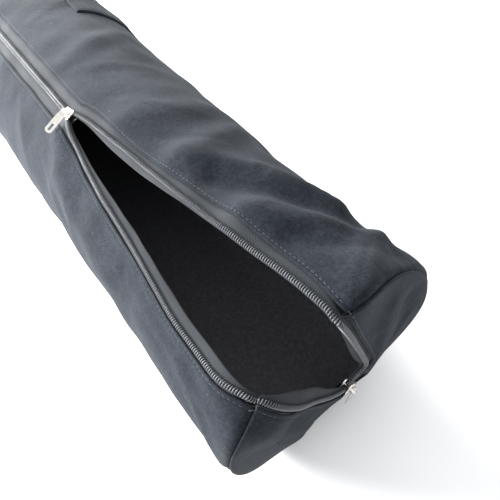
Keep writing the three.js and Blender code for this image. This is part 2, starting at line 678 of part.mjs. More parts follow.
const endOut = endNormal(sliderEnd.y, sliderEnd.z);
const endAlong = zipDown.clone().negate().addScaledVector(endOut, zipDown.dot(endOut)).normalize();
const endFrame = framed(endPoint(sliderEnd.y, sliderEnd.z, COIL_SINK), endAlong, endOut);
place('slider_end', sliderBody(), nickel, endFrame);
const endPull = place('pull_end', pullTab(), nickel, endFrame);
// It hangs straight down from the bridge's lower leg, flat against the panel
const down = vec(0, 0, -1).applyQuaternion(endFrame.quaternion.clone().invert());
const hanging = vec(down.x, down.y, 0).normalize();
endPull.position.set(-BRIDGE_LENGTH / 2 + BRIDGE_BAR / 2, 0, PLATE_TOP + BRIDGE_WINDOW / 2);
endPull.quaternion.setFromRotationMatrix(new THREE.Matrix4().makeBasis(
  hanging, vec(0, 0, 1).cross(hanging), vec(0, 0, 1),
));

// The origin goes under the middle of the whole bag
const box = new THREE.Box3().setFromObject(bag, true);
const middle = box.getCenter(vec(0, 0, 0));
bag.position.set(-middle.x, -middle.y, -box.min.z);

export default bag;
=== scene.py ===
"""A black cloth bag with a long zip, lying on a pale floor with its near end open."""

import math
from collections import namedtuple

import bpy
import numpy as np
from bpy.props import FloatProperty, FloatVectorProperty, PointerProperty
from mathutils import Matrix, Vector


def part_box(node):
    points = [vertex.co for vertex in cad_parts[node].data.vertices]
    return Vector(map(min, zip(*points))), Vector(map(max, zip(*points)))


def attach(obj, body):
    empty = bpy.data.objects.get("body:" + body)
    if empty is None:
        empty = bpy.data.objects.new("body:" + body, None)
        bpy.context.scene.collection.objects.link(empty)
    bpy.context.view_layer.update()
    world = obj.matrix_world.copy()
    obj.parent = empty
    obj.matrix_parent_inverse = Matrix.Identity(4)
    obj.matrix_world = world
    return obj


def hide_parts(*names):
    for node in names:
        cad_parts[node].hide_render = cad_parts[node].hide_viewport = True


bl_info = {
    "name": "Zipped Roll Bag",
    "version": (1, 0, 0),
    "blender": (4, 5, 0),
    "location": "3D View > Sidebar > Roll Bag",
    "description": "Builds the cloth, zip, sliders and stage of a long zipped roll bag",
    "category": "Object",
}

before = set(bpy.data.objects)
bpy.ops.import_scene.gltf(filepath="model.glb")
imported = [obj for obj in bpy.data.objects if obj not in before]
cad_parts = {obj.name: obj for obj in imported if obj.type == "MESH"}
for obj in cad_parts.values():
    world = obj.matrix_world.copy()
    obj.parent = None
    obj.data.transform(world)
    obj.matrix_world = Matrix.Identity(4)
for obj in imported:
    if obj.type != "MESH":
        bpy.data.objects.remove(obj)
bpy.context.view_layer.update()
FAR_LOW, FAR_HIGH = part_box("far_end_panel")
SLIDER_LOW, SLIDER_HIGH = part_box("slider_top")

MM = 0.001
SIDES = {"left": 1, "right": -1}

# The zip's two coils where it is open. Along is a share of half the length, turns are degrees
# from the top towards -Y, across and up are shares of the half width and the half height. Cloth is
# the distance from a coil to the cloth's edge as a share of the same distance on the closed zip, and
# tape is how far the tape is turned in past the coil, as a share of it too.
TubeMouth = namedtuple(
    "TubeMouth", "along left_turn left_cloth left_tape right_turn right_cloth right_tape"
)
MOUTH_ON_TUBE = (
    TubeMouth(0.326, 36.8, 0.6, 0.2, 30.4, 1, 0.2),
    TubeMouth(0.368, 40.4, 0.42, 0.25, 28.2, 0.9, 0.3),
    TubeMouth(0.47, 45.4, 0.4, 0.4, 25.3, 0.55, 0.6),
    TubeMouth(0.588, 49.0, 0.4, 0.6, 22.4, 0.6, 0.55),
    TubeMouth(0.706, 52.6, 0.4, 0.7, 19.3, 0.9, 0.25),
    TubeMouth(0.824, 57.0, 0.4, 0.75, 15.2, 1, 0.15),
    TubeMouth(0.912, 56.8, 0.4, 0.7, 11.3, 0.9, 0.15),
    TubeMouth(0.975, 54.0, 0.4, 0.3, 9.9, 0.6, 0.15),
)
EndMouth = namedtuple(
    "EndMouth", "left_across left_up left_cloth left_tape right_across right_up right_cloth right_tape"
)
MOUTH_ON_END = (
    EndMouth(-0.775, 0.585, 0.4, 0.2, -0.16, 0.95, 0.6, 0.15),
    EndMouth(-0.64, 0.47, 0.4, 0.55, -0.06, 0.72, 0.45, 0.3),
    EndMouth(-0.46, 0.27, 0.45, 0.85, 0.06, 0.44, 0.45, 0.45),
    EndMouth(-0.27, 0.07, 0.5, 0.75, 0.18, 0.16, 0.5, 0.5),
    EndMouth(-0.11, -0.09, 0.6, 0.45, 0.26, -0.08, 0.6, 0.35),
)
SLIDER_END_ACROSS, SLIDER_END_UP = 0.12, -0.24

# Where the near end's seam stands out. Turn and spread are degrees, out is a share of the half width.
SeamWave = namedtuple("SeamWave", "turn spread out")
SEAM_WAVES = (
    SeamWave(60, 20, 0.063),
    SeamWave(3, 20, 0.063),
    SeamWave(-85, 25, 0.02),
    SeamWave(-160, 45, -0.11),
    SeamWave(155, 32, -0.04),
)

# Where the cloth is drawn in round the near end's edge. Draw is a share of the half width.
RoundCorner = namedtuple("RoundCorner", "turn spread draw")
ROUND_CORNERS = (RoundCorner(54, 16, 0.1), RoundCorner(10, 12, 0.03))

# Soft folds of the tube: along is a share of half the length, rise and breadth of the half width.
Fold = namedtuple("Fold", "from_along from_turn to_along to_turn rise breadth")
TUBE_FOLDS = (
    Fold(0.6, 8, 0.83, -36, 0.052, 0.13),
    Fold(0.69, 3, 0.88, -34, -0.06, 0.14),
    Fold(0.78, 4, 0.92, -38, 0.05, 0.13),
    Fold(0.86, -2, 0.95, -38, -0.04, 0.12),
    Fold(0.92, -42, 0.98, -6, 0.03, 0.11),
    Fold(0.05, -32, 0.15, 14, 0.03, 0.16),
    Fold(0.47, -30, 0.44, 14, 0.03, 0.18),
    Fold(0.56, -34, 0.6, -4, 0.028, 0.15),
    Fold(0.33, 44, 0.46, 68, 0.022, 0.13),
    Fold(0.38, 62, 0.62, 76, 0.024, 0.14),
    Fold(0.58, 60, 0.93, 72, -0.022, 0.16),
    Fold(0.1, -44, 0.5, -46, -0.036, 0.34),
    Fold(0.6, -54, 0.88, -62, -0.075, 0.26),
    Fold(0.96, -56, 0.97, -100, 0.045, 0.18),
    Fold(-0.55, -40, -0.42, 20, 0.03, 0.18),
    Fold(-0.8, 60, -0.66, 5, 0.028, 0.17),
    Fold(-0.3, 50, -0.12, 95, -0.028, 0.18),
    Fold(-0.9, -60, -0.75, -95, 0.028, 0.17),
)
EndFold = namedtuple("EndFold", "from_across from_up to_across to_up rise breadth")
END_FOLDS = (
    EndFold(0.42, 0.55, 0.38, -0.35, 0.026, 0.1),
    EndFold(0.66, 0.4, 0.62, -0.3, -0.022, 0.12),
    EndFold(-0.7, 0.2, -0.3, -0.55, 0.026, 0.13),
    EndFold(-0.45, 0.05, -0.05, -0.6, -0.022, 0.12),
)

# Finer creases of the cloth, read as the folds above are
TUBE_CREASES = (
    Fold(0.64, 6, 0.72, -14, -0.012, 0.045),
    Fold(0.7, -16, 0.84, -38, 0.012, 0.05),
    Fold(0.8, -4, 0.9, -24, -0.014, 0.045),
    Fold(0.88, -12, 0.955, -36, 0.012, 0.045),
    Fold(0.93, -30, 0.985, -2, -0.01, 0.04),
    Fold(0.36, 14, 0.5, -18, 0.007, 0.06),
    Fold(0.52, 10, 0.6, -12, -0.007, 0.05),
    Fold(0.2, 16, 0.26, -20, 0.007, 0.07),
    Fold(0.5, 58, 0.66, 66, 0.009, 0.05),
    Fold(0.7, 66, 0.94, 74, 0.011, 0.05),
    Fold(0.86, 70, 0.98, 96, 0.012, 0.06),
    Fold(0.9, 84, 0.99, 112, -0.012, 0.06),
    Fold(0.3, 60, 0.42, 84, 0.008, 0.06),
    Fold(0.12, 50, 0.24, 78, 0.008, 0.07),
    Fold(-0.06, 44, 0.02, 74, -0.008, 0.07),
    Fold(-0.2, -30, -0.1, 12, 0.008, 0.07),
    Fold(-0.44, 48, -0.38, 84, 0.009, 0.07),
    Fold(-0.62, -20, -0.56, 22, -0.009, 0.07),
    Fold(-0.7, 40, -0.62, 80, 0.009, 0.07),
    Fold(-0.92, 10, -0.84, -34, 0.01, 0.06),
)
END_CREASES = (
    EndFold(0.3, 0.3, 0.34, -0.3, -0.008, 0.045),
    EndFold(0.52, 0.5, 0.5, -0.2, 0.009, 0.045),
    EndFold(0.74, 0.1, 0.6, -0.5, 0.01, 0.05),
    EndFold(-0.6, -0.05, -0.22, -0.62, -0.009, 0.045),
    EndFold(-0.3, -0.2, 0.02, -0.42, 0.008, 0.04),
    EndFold(0.1, -0.5, 0.3, -0.8, 0.008, 0.05),
)

# Slow unevenness of the cloth: waves per metre along the bag and round it, a phase, and a height
Ripple = namedtuple("Ripple", "along around phase height")
RIPPLES = (
    Ripple(9, 5, 0.3, 0.45 * MM),
    Ripple(-15, 11, 1.9, 0.3 * MM),
    Ripple(23, 17, 4.1, 0.2 * MM),
    Ripple(-31, 8, 2.7, 0.16 * MM),
    Ripple(12, -27, 5.2, 0.16 * MM),
)


def size_of(name, default, description):
    """A property for a size in metres"""
    return FloatProperty(name=name, description=description, default=default, unit="LENGTH")


def colour_of(name, default, description):
    """A property for a colour in linear light"""
    return FloatVectorProperty(name=name, description=description, default=default, subtype="COLOR")


class BagSizes(bpy.types.PropertyGroup):
    """Sizes of the bag's cloth and zip"""

    length: size_of("Length", 0.68, "Nominal length of the cloth tube")
    half_width: size_of("Half width", 0.079, "Half of the tube's width")
    half_height: size_of("Half height", 0.072, "Half of the tube's height")
    settled: size_of("Settled", 0.007, "How far the tube is flattened where it lies")
    cloth: size_of("Cloth", 0.0016, "Thickness of a folded cloth edge")
    ply: size_of("Ply", 0.0007, "Thickness of one layer of cloth")
    end_dome: size_of("End dome", 0.005, "How far the near end panel bulges")
    far_dome: size_of("Far dome", 0.005, "How far the far end panel bulges")
    hem: size_of("Hem", 0.008, "Width of the cloth that is turned under")
    stitch_inset: size_of("Stitch inset", 0.0023, "Distance of the stitches from a cloth edge")
    stitch_pitch: size_of("Stitch pitch", 0.0031, "Length of one stitch and its gap")
    thread: size_of("Thread", 0.0005, "Thickness of the sewing thread")
    zip_turn: FloatProperty(
        name="Zip turn", description="The closed zip's place round the tube, in degrees", default=33.4
    )
    tape_showing: size_of("Tape showing", 0.0072, "Width of tape between coil and cloth")
    coil_pitch: size_of("Coil pitch", 0.00145, "Distance from one tooth to the next")
    coil_width: size_of("Coil width", 0.0038, "Width of one nylon coil")
    coil_height: size_of("Coil height", 0.0022, "Height of one nylon coil")
    coil_wire: size_of("Coil wire", 0.00078, "Thickness of the coil's nylon wire")


class BagColours(bpy.types.PropertyGroup):
    """Colours of the bag's cloth, zip and floor"""

    cloth: colour_of("Cloth", (0.0068, 0.0092, 0.0132), "Black cotton twill")
    cloth_worn: colour_of("Worn cloth", (0.0225, 0.0272, 0.035), "Brushed and faded places")
    # The reverse is paler than the twill's face. Part of that is its own lighter, less dyed side, and part
    # is painted light standing in for the light that barely reaches the bag's inside.
    reverse: colour_of("Reverse", (0.15, 0.15, 0.165), "Reverse side of the cloth")
    lint: colour_of("Lint", (0.34, 0.36, 0.38), "Specks of dust and lint")
    tape: colour_of("Tape", (0.03, 0.034, 0.039), "Woven tape of the zip")
    nylon: colour_of("Nylon", (0.055, 0.058, 0.064), "Black nylon of the coils")
    thread: colour_of("Thread", (0.035, 0.038, 0.045), "Sewing thread")
    nickel: colour_of("Nickel", (0.78, 0.75, 0.69), "Metal of the sliders and pulls")
    floor: colour_of("Floor", (0.94, 0.94, 0.94), "Pale studio floor")


# Small helpers for numbers


def smooth(share):
    """An even rise from 0 to 1"""
    share = np.clip(share, 0, 1)
    return share * share * (3 - 2 * share)


def settle(height, level, blend):
    """The larger of a height and the floor's level, rounded where they cross"""
    over = height - level
    rounded = level + (over + blend) ** 2 / (4 * blend)
    return np.where(over >= blend, height, np.where(over <= -blend, level, rounded))


def read_table(rows, column, place):
    """A smooth curve through one column of a table, read at places along it"""
    at = np.array([row.along for row in rows])
    value = np.array([getattr(row, column) for row in rows])
    slope = np.gradient(value, at)
    last = len(rows) - 1
    slope[1:last] = (value[2:] - value[:-2]) / (at[2:] - at[:-2])
    place = np.clip(place, at[0], at[last])
    i = np.clip(np.searchsorted(at, place, side="right") - 1, 0, last - 1)
    width = at[i + 1] - at[i]
    t = (place - at[i]) / width
    level = value[i] * (1 + 2 * t) * (1 - t) ** 2 + value[i + 1] * t * t * (3 - 2 * t)
    return level + width * (slope[i] * t * (1 - t) ** 2 - slope[i + 1] * t * t * (1 - t))


def ridge(x, y, start, end, rise, breadth):
    """How far a soft ridge from start to end lifts the places x, y"""
    dx, dy = end[0] - start[0], end[1] - start[1]
    t = np.clip(((x - start[0]) * dx + (y - start[1]) * dy) / (dx * dx + dy * dy), 0, 1)
    away = (x - start[0] - t * dx) ** 2 + (y - start[1] - t * dy) ** 2
    return rise * np.exp(-away / breadth**2)


def uneven_wave(place, rise, step, drift, slow_step):
    """A wave along a place, whose crests drift with a slower wave"""
    return rise * np.sin(place / step + drift * np.sin(place / slow_step))


def unit(vectors):
    """The same directions at length 1"""
    return vectors / np.linalg.norm(vectors, axis=-1, keepdims=True)


def through(rows, places):
    """A smooth curve through rows of values, whose first three are a point, read at places in rows"""
    rows = np.vstack([2 * rows[0] - rows[1], rows, 2 * rows[-1] - rows[-2]])
    i = np.clip(np.floor(places).astype(int), 0, len(rows) - 4)
    a, b, c, d = (rows[i + k] for k in range(4))
    gap = [np.sqrt(np.linalg.norm((q - p)[:, :3], axis=1))[:, None] for p, q in ((a, b), (b, c), (c, d))]
    start = ((b - a) / gap[0] - (c - a) / (gap[0] + gap[1]) + (c - b) / gap[1]) * gap[1]
    end = ((c - b) / gap[1] - (d - b) / (gap[1] + gap[2]) + (d - c) / gap[2]) * gap[1]
    t = (places - i)[:, None]
    curve = b * (1 + 2 * t) * (1 - t) ** 2 + c * t * t * (3 - 2 * t)
    return curve + start * t * (1 - t) ** 2 - end * t * t * (1 - t)


class Line:
    """A line in space with the directions out of and away from the surface that it lies on"""

    def __init__(self, points, outs, normals):
        self.points, self.outs, self.normals = points, outs, normals
        steps = np.linalg.norm(np.diff(points, axis=0), axis=1)
        self.reach = np.concatenate([[0], np.cumsum(steps)])
        self.length = self.reach[-1]

    def read(self, values, distance):
        """Values at distances along the line"""
        return np.stack([np.interp(distance, self.reach, column) for column in values.T], axis=-1)

    def nearest(self, point):
        """The distance along the line of its place nearest to a point"""
        return self.reach[np.argmin(np.linalg.norm(self.points - point, axis=1))]

    def carry(self, local):
        """Places beside the line: along it, out from it and along its normal"""
        inside = np.clip(local[:, 0], 0, self.length)
        out = unit(self.read(self.outs, inside))
        normal = unit(self.read(self.normals, inside))
        return self.read(self.points, inside) + out * local[:, 1:2] + normal * local[:, 2:3]


class BagShape:
    """The surfaces of the bag, worked out from its sizes"""

    CLEARANCE = 0.3 * MM
    SHOULDER = 6 * MM
    RIM_INSET = 2.2 * MM
    SETTLED_BLEND = 3 * MM
    LEAN_REACH = 90 * MM
    CORNER_REACH = 30 * MM
    END_SHIFT = 3 * MM
    END_LEAN = 0.075
    COIL_SINK = 0.3 * MM
    SOLID_COIL = 2.6 * MM
    SOLID_COIL_HEIGHT = 2.2 * MM
    ZIP_END = 15 * MM
    FAR_DIVE = 4 * MM
    FAR_DIVE_REACH = 6 * MM
    SLIDER_LENGTH = 10 * MM

    def __init__(self, sizes):
        self.sizes = sizes
        self.half_length = sizes.length / 2
        self.half_width = sizes.half_width
        self.half_height = sizes.half_height
        self.axis_height = sizes.half_height - sizes.settled
        self.per_turn = math.radians((sizes.half_width + sizes.half_height) / 2)
        self.rim_width = self.half_width - self.RIM_INSET
        self.rim_height = self.half_height - self.RIM_INSET
        self.coil_offset = (self.SOLID_COIL + self.CLEARANCE) / 2
        self.tape_top = -self.COIL_SINK - self.SOLID_COIL_HEIGHT / 2 - self.CLEARANCE
        self.closed_edge = sizes.tape_showing + self.SOLID_COIL / 2
        # The frame's origin is under the middle of the whole bag, these surfaces' under the tube's
        middle = (FAR_LOW.y + FAR_HIGH.y) / 2
        self.origin = np.array([FAR_HIGH.x + self.half_length + self.CLEARANCE, middle, 0])
        self.slider_along = (SLIDER_LOW.x + SLIDER_HIGH.x) / 2 - self.origin[0]
        self.slider_end = np.array([
            SLIDER_END_ACROSS * self.half_width,
            self.axis_height + SLIDER_END_UP * self.half_height,
        ])

    def fold_lift(self, fold, x, y, start, end):
        return ridge(x, y, start, end, fold.rise * self.half_width, fold.breadth * self.half_width)

    # The tube

    def tube_folds(self, x, turn):
        around = turn * self.per_turn
        lift = np.zeros(np.broadcast(x, turn).shape)
        for fold in TUBE_FOLDS + TUBE_CREASES:
            start = (fold.from_along * self.half_length, fold.from_turn * self.per_turn)
            end = (fold.to_along * self.half_length, fold.to_turn * self.per_turn)
            lift = lift + self.fold_lift(fold, x, around, start, end)
        for ripple in RIPPLES:
            lift = lift + ripple.height * np.sin(
                2 * np.pi * (ripple.along * x + ripple.around * around) + ripple.phase
            )
        # The seam's gathers fade away from the seam
        from_seam = np.minimum(np.abs(self.half_length - x), np.abs(self.half_length + x))
        gathers = uneven_wave(around, 0.3 * MM, 1.7 * MM, 2, 9 * MM)
        return lift + gathers * np.exp(-((from_seam / (9 * MM)) ** 2))

    def seam_shift(self, turn):
        shift = self.END_SHIFT + self.END_LEAN * self.half_width * np.sin(np.radians(turn))
        for wave in SEAM_WAVES:
            off = wrapped(turn - wave.turn) / wave.spread
            shift = shift + wave.out * self.half_width * np.exp(-(off**2))
        return shift

    def corner_draw(self, turn, from_edge):
        """How far the near end's edge is drawn in, both along the bag and towards its middle"""
        fading = np.clip(1 - from_edge / self.CORNER_REACH, 0, 1) ** 2
        draw = 0
        for corner in ROUND_CORNERS:
            off = wrapped(turn - corner.turn) / corner.spread
            draw = draw + corner.draw * self.half_width * np.exp(-(off**2))
        return fading * draw

    def tube_normal(self, turn):
        turn = np.radians(turn)
        across = -self.half_height * np.sin(turn)
        up = self.half_width * np.cos(turn)
        return unit(np.stack([np.zeros_like(turn), across, up], axis=-1))

    def tube_point(self, x, turn, lift):
        """Points of the tube: x is a nominal place along the bag, lift a distance out of the cloth's face"""
        x, turn, lift = np.broadcast_arrays(*(np.asarray(v, float) for v in (x, turn, lift)))
        angle = np.radians(turn)
        draw = self.corner_draw(turn, self.half_length - x)
        point = np.stack([
            x - draw, -self.half_width * np.sin(angle), self.axis_height + self.half_height * np.cos(angle)
        ], axis=-1)
        raised = lift + self.tube_folds(x, wrapped(turn)) - draw
        point = point + self.tube_normal(turn) * raised[..., None]
        lean = smooth((x - self.half_length + self.LEAN_REACH) / self.LEAN_REACH)
        point[..., 0] += self.seam_shift(turn) * lean
        point[..., 2] = settle(point[..., 2], np.maximum(-lift, 0), self.SETTLED_BLEND)
        return point

    # The near end

    def end_folds(self, y, z):
        lift = np.zeros(np.shape(y))
        for fold in END_FOLDS + END_CREASES:
            start = (fold.from_across * self.half_width, self.axis_height + fold.from_up * self.half_height)
            end = (fold.to_across * self.half_width, self.axis_height + fold.to_up * self.half_height)
            lift = lift + self.fold_lift(fold, y, z, start, end)
        return lift

    def end_point(self, y, z, depth):
        """Points of the near end panel: depth is a distance into the bag from its outer face"""
        across = y / self.rim_width
        up = (z - self.axis_height) / self.rim_height
        reach = np.minimum(across**2 + up**2, 1)
        turn = np.degrees(np.arctan2(-across, up))
        plane = self.half_length + self.END_SHIFT + reach * (self.seam_shift(turn) - self.END_SHIFT)
        plane = plane - (1 - reach) * self.END_LEAN * y
        bulge = self.sizes.end_dome * (1 - reach) + self.end_folds(y, z) * smooth((1 - reach) * 4)
        out = plane + self.CLEARANCE + self.sizes.cloth + bulge - depth
        draw = self.corner_draw(turn, (1 - np.sqrt(reach)) * self.rim_height)
        inward = -self.tube_normal(turn) * draw[..., None]
        return np.stack(np.broadcast_arrays(out - draw, y, z), axis=-1) + inward

    def end_normal(self, y, z):
        step = 1 * MM
        dy = (self.end_point(y + step, z, 0) - self.end_point(y - step, z, 0))[..., 0] / (2 * step)
        dz = (self.end_point(y, z + step, 0) - self.end_point(y, z - step, 0))[..., 0] / (2 * step)
        return unit(np.stack([np.ones_like(dy), -dy, -dz], axis=-1))

    # The zip's line

    def along_zip(self, x, closed, column):
        """A value on the tube that is even where the zip is closed and follows a column beyond it"""
        opened = read_table(MOUTH_ON_TUBE, column, np.asarray(x) / self.half_length)
        start = self.slider_along - self.SLIDER_LENGTH * 0.1
        share = (x - start) / (MOUTH_ON_TUBE[0].along * self.half_length - start)
        return closed + (opened - closed) * np.clip(share, 0, 1)

    def coil_turn(self, side, x):
        closed = self.sizes.zip_turn + SIDES[side] * self.coil_offset / self.per_turn
        return self.along_zip(x, closed, side + "_turn")

    def cloth_edge(self, side, x):
        """The distance from a coil's middle to the cloth's edge on the tube"""
        return self.closed_edge * self.along_zip(x, 1, side + "_cloth")

    def tape_turned_in(self, side, x):
        """How far the tape shows inside the opening, past the coil's middle"""
        return self.closed_edge * self.along_zip(x, 0, side + "_tape")

    def turn_beside(self, side, x, distance):
        """The turn of a place beside a coil on the tube, whose distance is worked out from the edges'"""
        away = distance(self.cloth_edge(side, x), self.tape_turned_in(side, x))
        return self.coil_turn(side, x) + SIDES[side] * away / self.per_turn

    def coil_on_end(self, side):
        """The coil's places on the end panel, from the seam to the zip's end, with the distances of the
        cloth's edge and the tape's inner edge"""
        places = [
            [
                getattr(row, side + "_across") * self.half_width,
                self.axis_height + getattr(row, side + "_up") * self.half_height,
                getattr(row, side + "_cloth") * self.closed_edge,
                getattr(row, side + "_tape") * self.closed_edge,
            ]
            for row in MOUTH_ON_END
        ]
        turn = math.radians(self.sizes.zip_turn)
        down = np.array([self.half_width * math.sin(turn), -self.half_height * math.cos(turn)])
        down /= np.linalg.norm(down)
        across = np.array([down[1], -down[0]])
        half = self.SLIDER_LENGTH / 2
        # How far down the zip, the spread of the coils, and shares of the cloth's and the tape's edge
        meeting = (
            (-half, 2.8, 0.8, 0.2), (-half / 3, 1.25, 1, 0.04), (half / 2, 1, 1, 0),
            ((half + self.ZIP_END) / 2, 1, 1, 0), (self.ZIP_END, 1, 1, 0),
        )
        for distance, spread, cloth, tape in meeting:
            out = SIDES[side] * spread * self.coil_offset
            place = self.slider_end + down * distance + across * out
            places.append([*place, cloth * self.closed_edge, tape * self.closed_edge])
        return np.array(places)

    def moved_round(self, place, distance):
        """A place of the end panel, moved a distance round the tube's middle"""
        across = place[0] / self.half_width
        up = (place[1] - self.axis_height) / self.half_height
        turn = math.radians(distance / self.per_turn)
        return [
            self.half_width * (across * math.cos(turn) - up * math.sin(turn)),
            self.axis_height + self.half_height * (up * math.cos(turn) + across * math.sin(turn)),
        ]

    def beside_on_end(self, side, distance):
        """The places beside a coil on the end panel, at a distance worked out as on the tube"""
        path = self.coil_on_end(side)
        out = SIDES[side] * distance(path[:, 2], path[:, 3]) * np.ones(len(path))
        path = path[:, :2]
        places = [self.moved_round(path[0], out[0])]
        for i in range(1, len(path)):
            step = path[min(i + 1, len(path) - 1)] - path[i - 1]
            step = step / np.linalg.norm(step)
            places.append([path[i][0] + out[i] * step[1], path[i][1] - out[i] * step[0]])
        return np.array(places)

    def zip_line(self, side, distance, lift):
        """The line along the zip, a distance out from a coil's middle and a lift off the cloth. The
        distance is worked out from the cloth's edge and the tape's inner edge."""
        x = np.linspace(-self.half_length, self.half_length - self.SHOULDER, 169)
        turn = self.turn_beside(side, x, distance)
        # At the far end the zip dives into the seam
        dive = -self.FAR_DIVE * smooth((self.FAR_DIVE - self.half_length - x) / self.FAR_DIVE_REACH)
        tube = np.hstack([self.tube_point(x, turn, lift + dive), self.tube_normal(turn)])
        corner = np.array([self.turn_beside(side, self.half_length, distance)])
        over = unit(self.tube_normal(corner) + [1, 0, 0])
        near_edge = self.half_length - self.SHOULDER / 4
        shoulder = np.hstack([self.tube_point(near_edge, corner, lift - self.RIM_INSET / 2), over])
        y, z = self.beside_on_end(side, distance).T
        end = np.hstack([self.end_point(y, z, -lift), self.end_normal(y, z)])
        # Two places to each row of the tube, and eight to each of the shoulder and the end panel
        last = len(x) - 1
        places = np.concatenate([np.arange(0, last, 1 / 2), np.arange(last, last + 1 + len(y), 1 / 8)])
        curve = through(np.vstack([tube, shoulder, end]), places)
        points = curve[:, :3]
        along = unit(np.gradient(points, axis=0))
        outs = unit(np.cross(along, unit(curve[:, 3:]))) * SIDES[side]
        normals = np.cross(outs, along) * SIDES[side]
        return Line(points + self.origin, outs, normals)

    def coil_line(self, side):
        """The coil's own line: where the zip is closed, the two coils move together until they mesh"""
        line = self.zip_line(side, at_coil, -self.COIL_SINK)
        other = self.zip_line("right" if side == "left" else "left", at_coil, -self.COIL_SINK)
        gaps = np.linalg.norm(line.points[:, None] - other.points[None], axis=2).min(axis=1)
        closed = 1 - smooth((gaps - 2 * self.coil_offset) / (2.5 * MM))
        meshed = self.coil_offset - self.sizes.coil_width / 4
        return Line(line.points - line.outs * (closed * meshed)[:, None], line.outs, line.normals)


def at_coil(edge, tape):
    """The distance of a coil's own middle, for the lines along the zip"""
    return 0 * edge


def at_edge(edge, tape):
    """The distance of the cloth's edge, for the lines along the zip"""
    return edge


def wrapped(turn):
    """A turn between -180 and 180 degrees"""
    return (turn + 180) % 360 - 180


# Small helpers for meshes


def deselect():
    if bpy.context.object and bpy.context.object.mode != "OBJECT":
        bpy.ops.object.mode_set(mode="OBJECT")
    bpy.ops.object.select_all(action="DESELECT")


def take(piece):
    """Makes a piece the only selected one"""
    deselect()
    piece.select_set(True)
    bpy.context.view_layer.objects.active = piece


def finish_with(piece, kind, **settings):
    """Adds a modifier and applies it"""
    take(piece)
    bpy.ops.object.modifier_add(type=kind)
    modifier = piece.modifiers[-1]
    for name, value in settings.items():
        setattr(modifier, name, value)
    bpy.ops.object.modifier_apply(modifier=modifier.name)


def vertices(piece):
    places = np.zeros(len(piece.data.vertices) * 3, np.float32)
    piece.data.vertices.foreach_get("co", places)
    return places.reshape(-1, 3).astype(float)


def move_vertices(piece, places):
    piece.data.vertices.foreach_set("co", places.astype(np.float32).ravel())
    piece.data.update()


def name_piece(piece, name):
    piece.name = name
    piece.data.name = name
    return piece


def cloth_grid(name, points, flat, out):
    """A sheet of cloth from a grid that is moved on to points. Flat has its places in the cloth before
    sewing, in metres, and out the direction that its middle faces."""
    rows, columns = points.shape[:2]
    deselect()
    bpy.ops.mesh.primitive_grid_add(x_subdivisions=rows - 1, y_subdivisions=columns - 1, size=1)
    piece = name_piece(bpy.context.object, name)
    grid = vertices(piece)
    if len(grid) != rows * columns:
        raise RuntimeError(f"{name}: the grid has {len(grid)} points for {rows * columns} places")
    i = np.rint((grid[:, 0] + 0.5) * (rows - 1)).astype(int)
    j = np.rint((grid[:, 1] + 0.5) * (columns - 1)).astype(int)
    move_vertices(piece, points[i, j])
    corners = np.zeros(len(piece.data.loops), np.int32)
    piece.data.loops.foreach_get("vertex_index", corners)
    piece.data.uv_layers[0].data.foreach_set("uv", flat[i, j][corners].astype(np.float32).ravel())
    a, b = rows // 2, columns // 2
    facing = np.cross(points[a + 1, b] - points[a, b], points[a, b + 1] - points[a, b])
    if facing @ np.asarray(out) < 0:
        take(piece)
        bpy.ops.object.mode_set(mode="EDIT")
        bpy.ops.mesh.select_all(action="SELECT")
        bpy.ops.mesh.flip_normals()
        bpy.ops.object.mode_set(mode="OBJECT")
    return piece


def dress(piece, *makers):
    """Gives a piece its materials, each made once by its maker"""
    piece.data.materials.clear()
    for maker in makers:
        made = bpy.data.materials.get(maker.__name__)
        piece.data.materials.append(made or maker(bpy.context.scene.roll_bag_colours))


def thicken(piece, thickness):
    """Gives a sheet its thickness, away from its outer face. Its inner face has its second material, if
    it has two."""
    last = len(piece.data.materials) - 1
    finish_with(
        piece, "SOLIDIFY", thickness=thickness, offset=-1, use_quality_normals=True, material_offset=last
    )
    take(piece)
    bpy.ops.object.shade_smooth()


def run_of(piece, count, pitch):
    """Repeats a piece along X"""
    finish_with(
        piece, "ARRAY", count=count, use_relative_offset=False, use_constant_offset=True,
        constant_offset_displace=(pitch, 0, 0),
    )


def settle_piece(piece, body, slot, *nodes):
    """Gives a finished piece its body and hides the nodes that it stands for. Its slot is not used."""
    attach(piece, body)
    if nodes:
        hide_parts(*nodes)


# Materials


class Value:
    """A shader value that sums with others as a number does"""

    def __init__(self, finish, socket):
        self.finish, self.socket = finish, socket

    def __add__(self, other):
        return self.finish.math("ADD", self, other)

    def __radd__(self, other):
        return self.finish.math("ADD", other, self)

    def __sub__(self, other):
        return self.finish.math("SUBTRACT", self, other)

    def __rsub__(self, other):
        return self.finish.math("SUBTRACT", other, self)

    def __mul__(self, other):
        return self.finish.math("MULTIPLY", self, other)

    def __rmul__(self, other):
        return self.finish.math("MULTIPLY", other, self)

    def __truediv__(self, other):
        return self.finish.math("DIVIDE", self, other)

    def __gt__(self, other):
        return self.finish.math("GREATER_THAN", self, other)

    def __lt__(self, other):
        return self.finish.math("LESS_THAN", self, other)


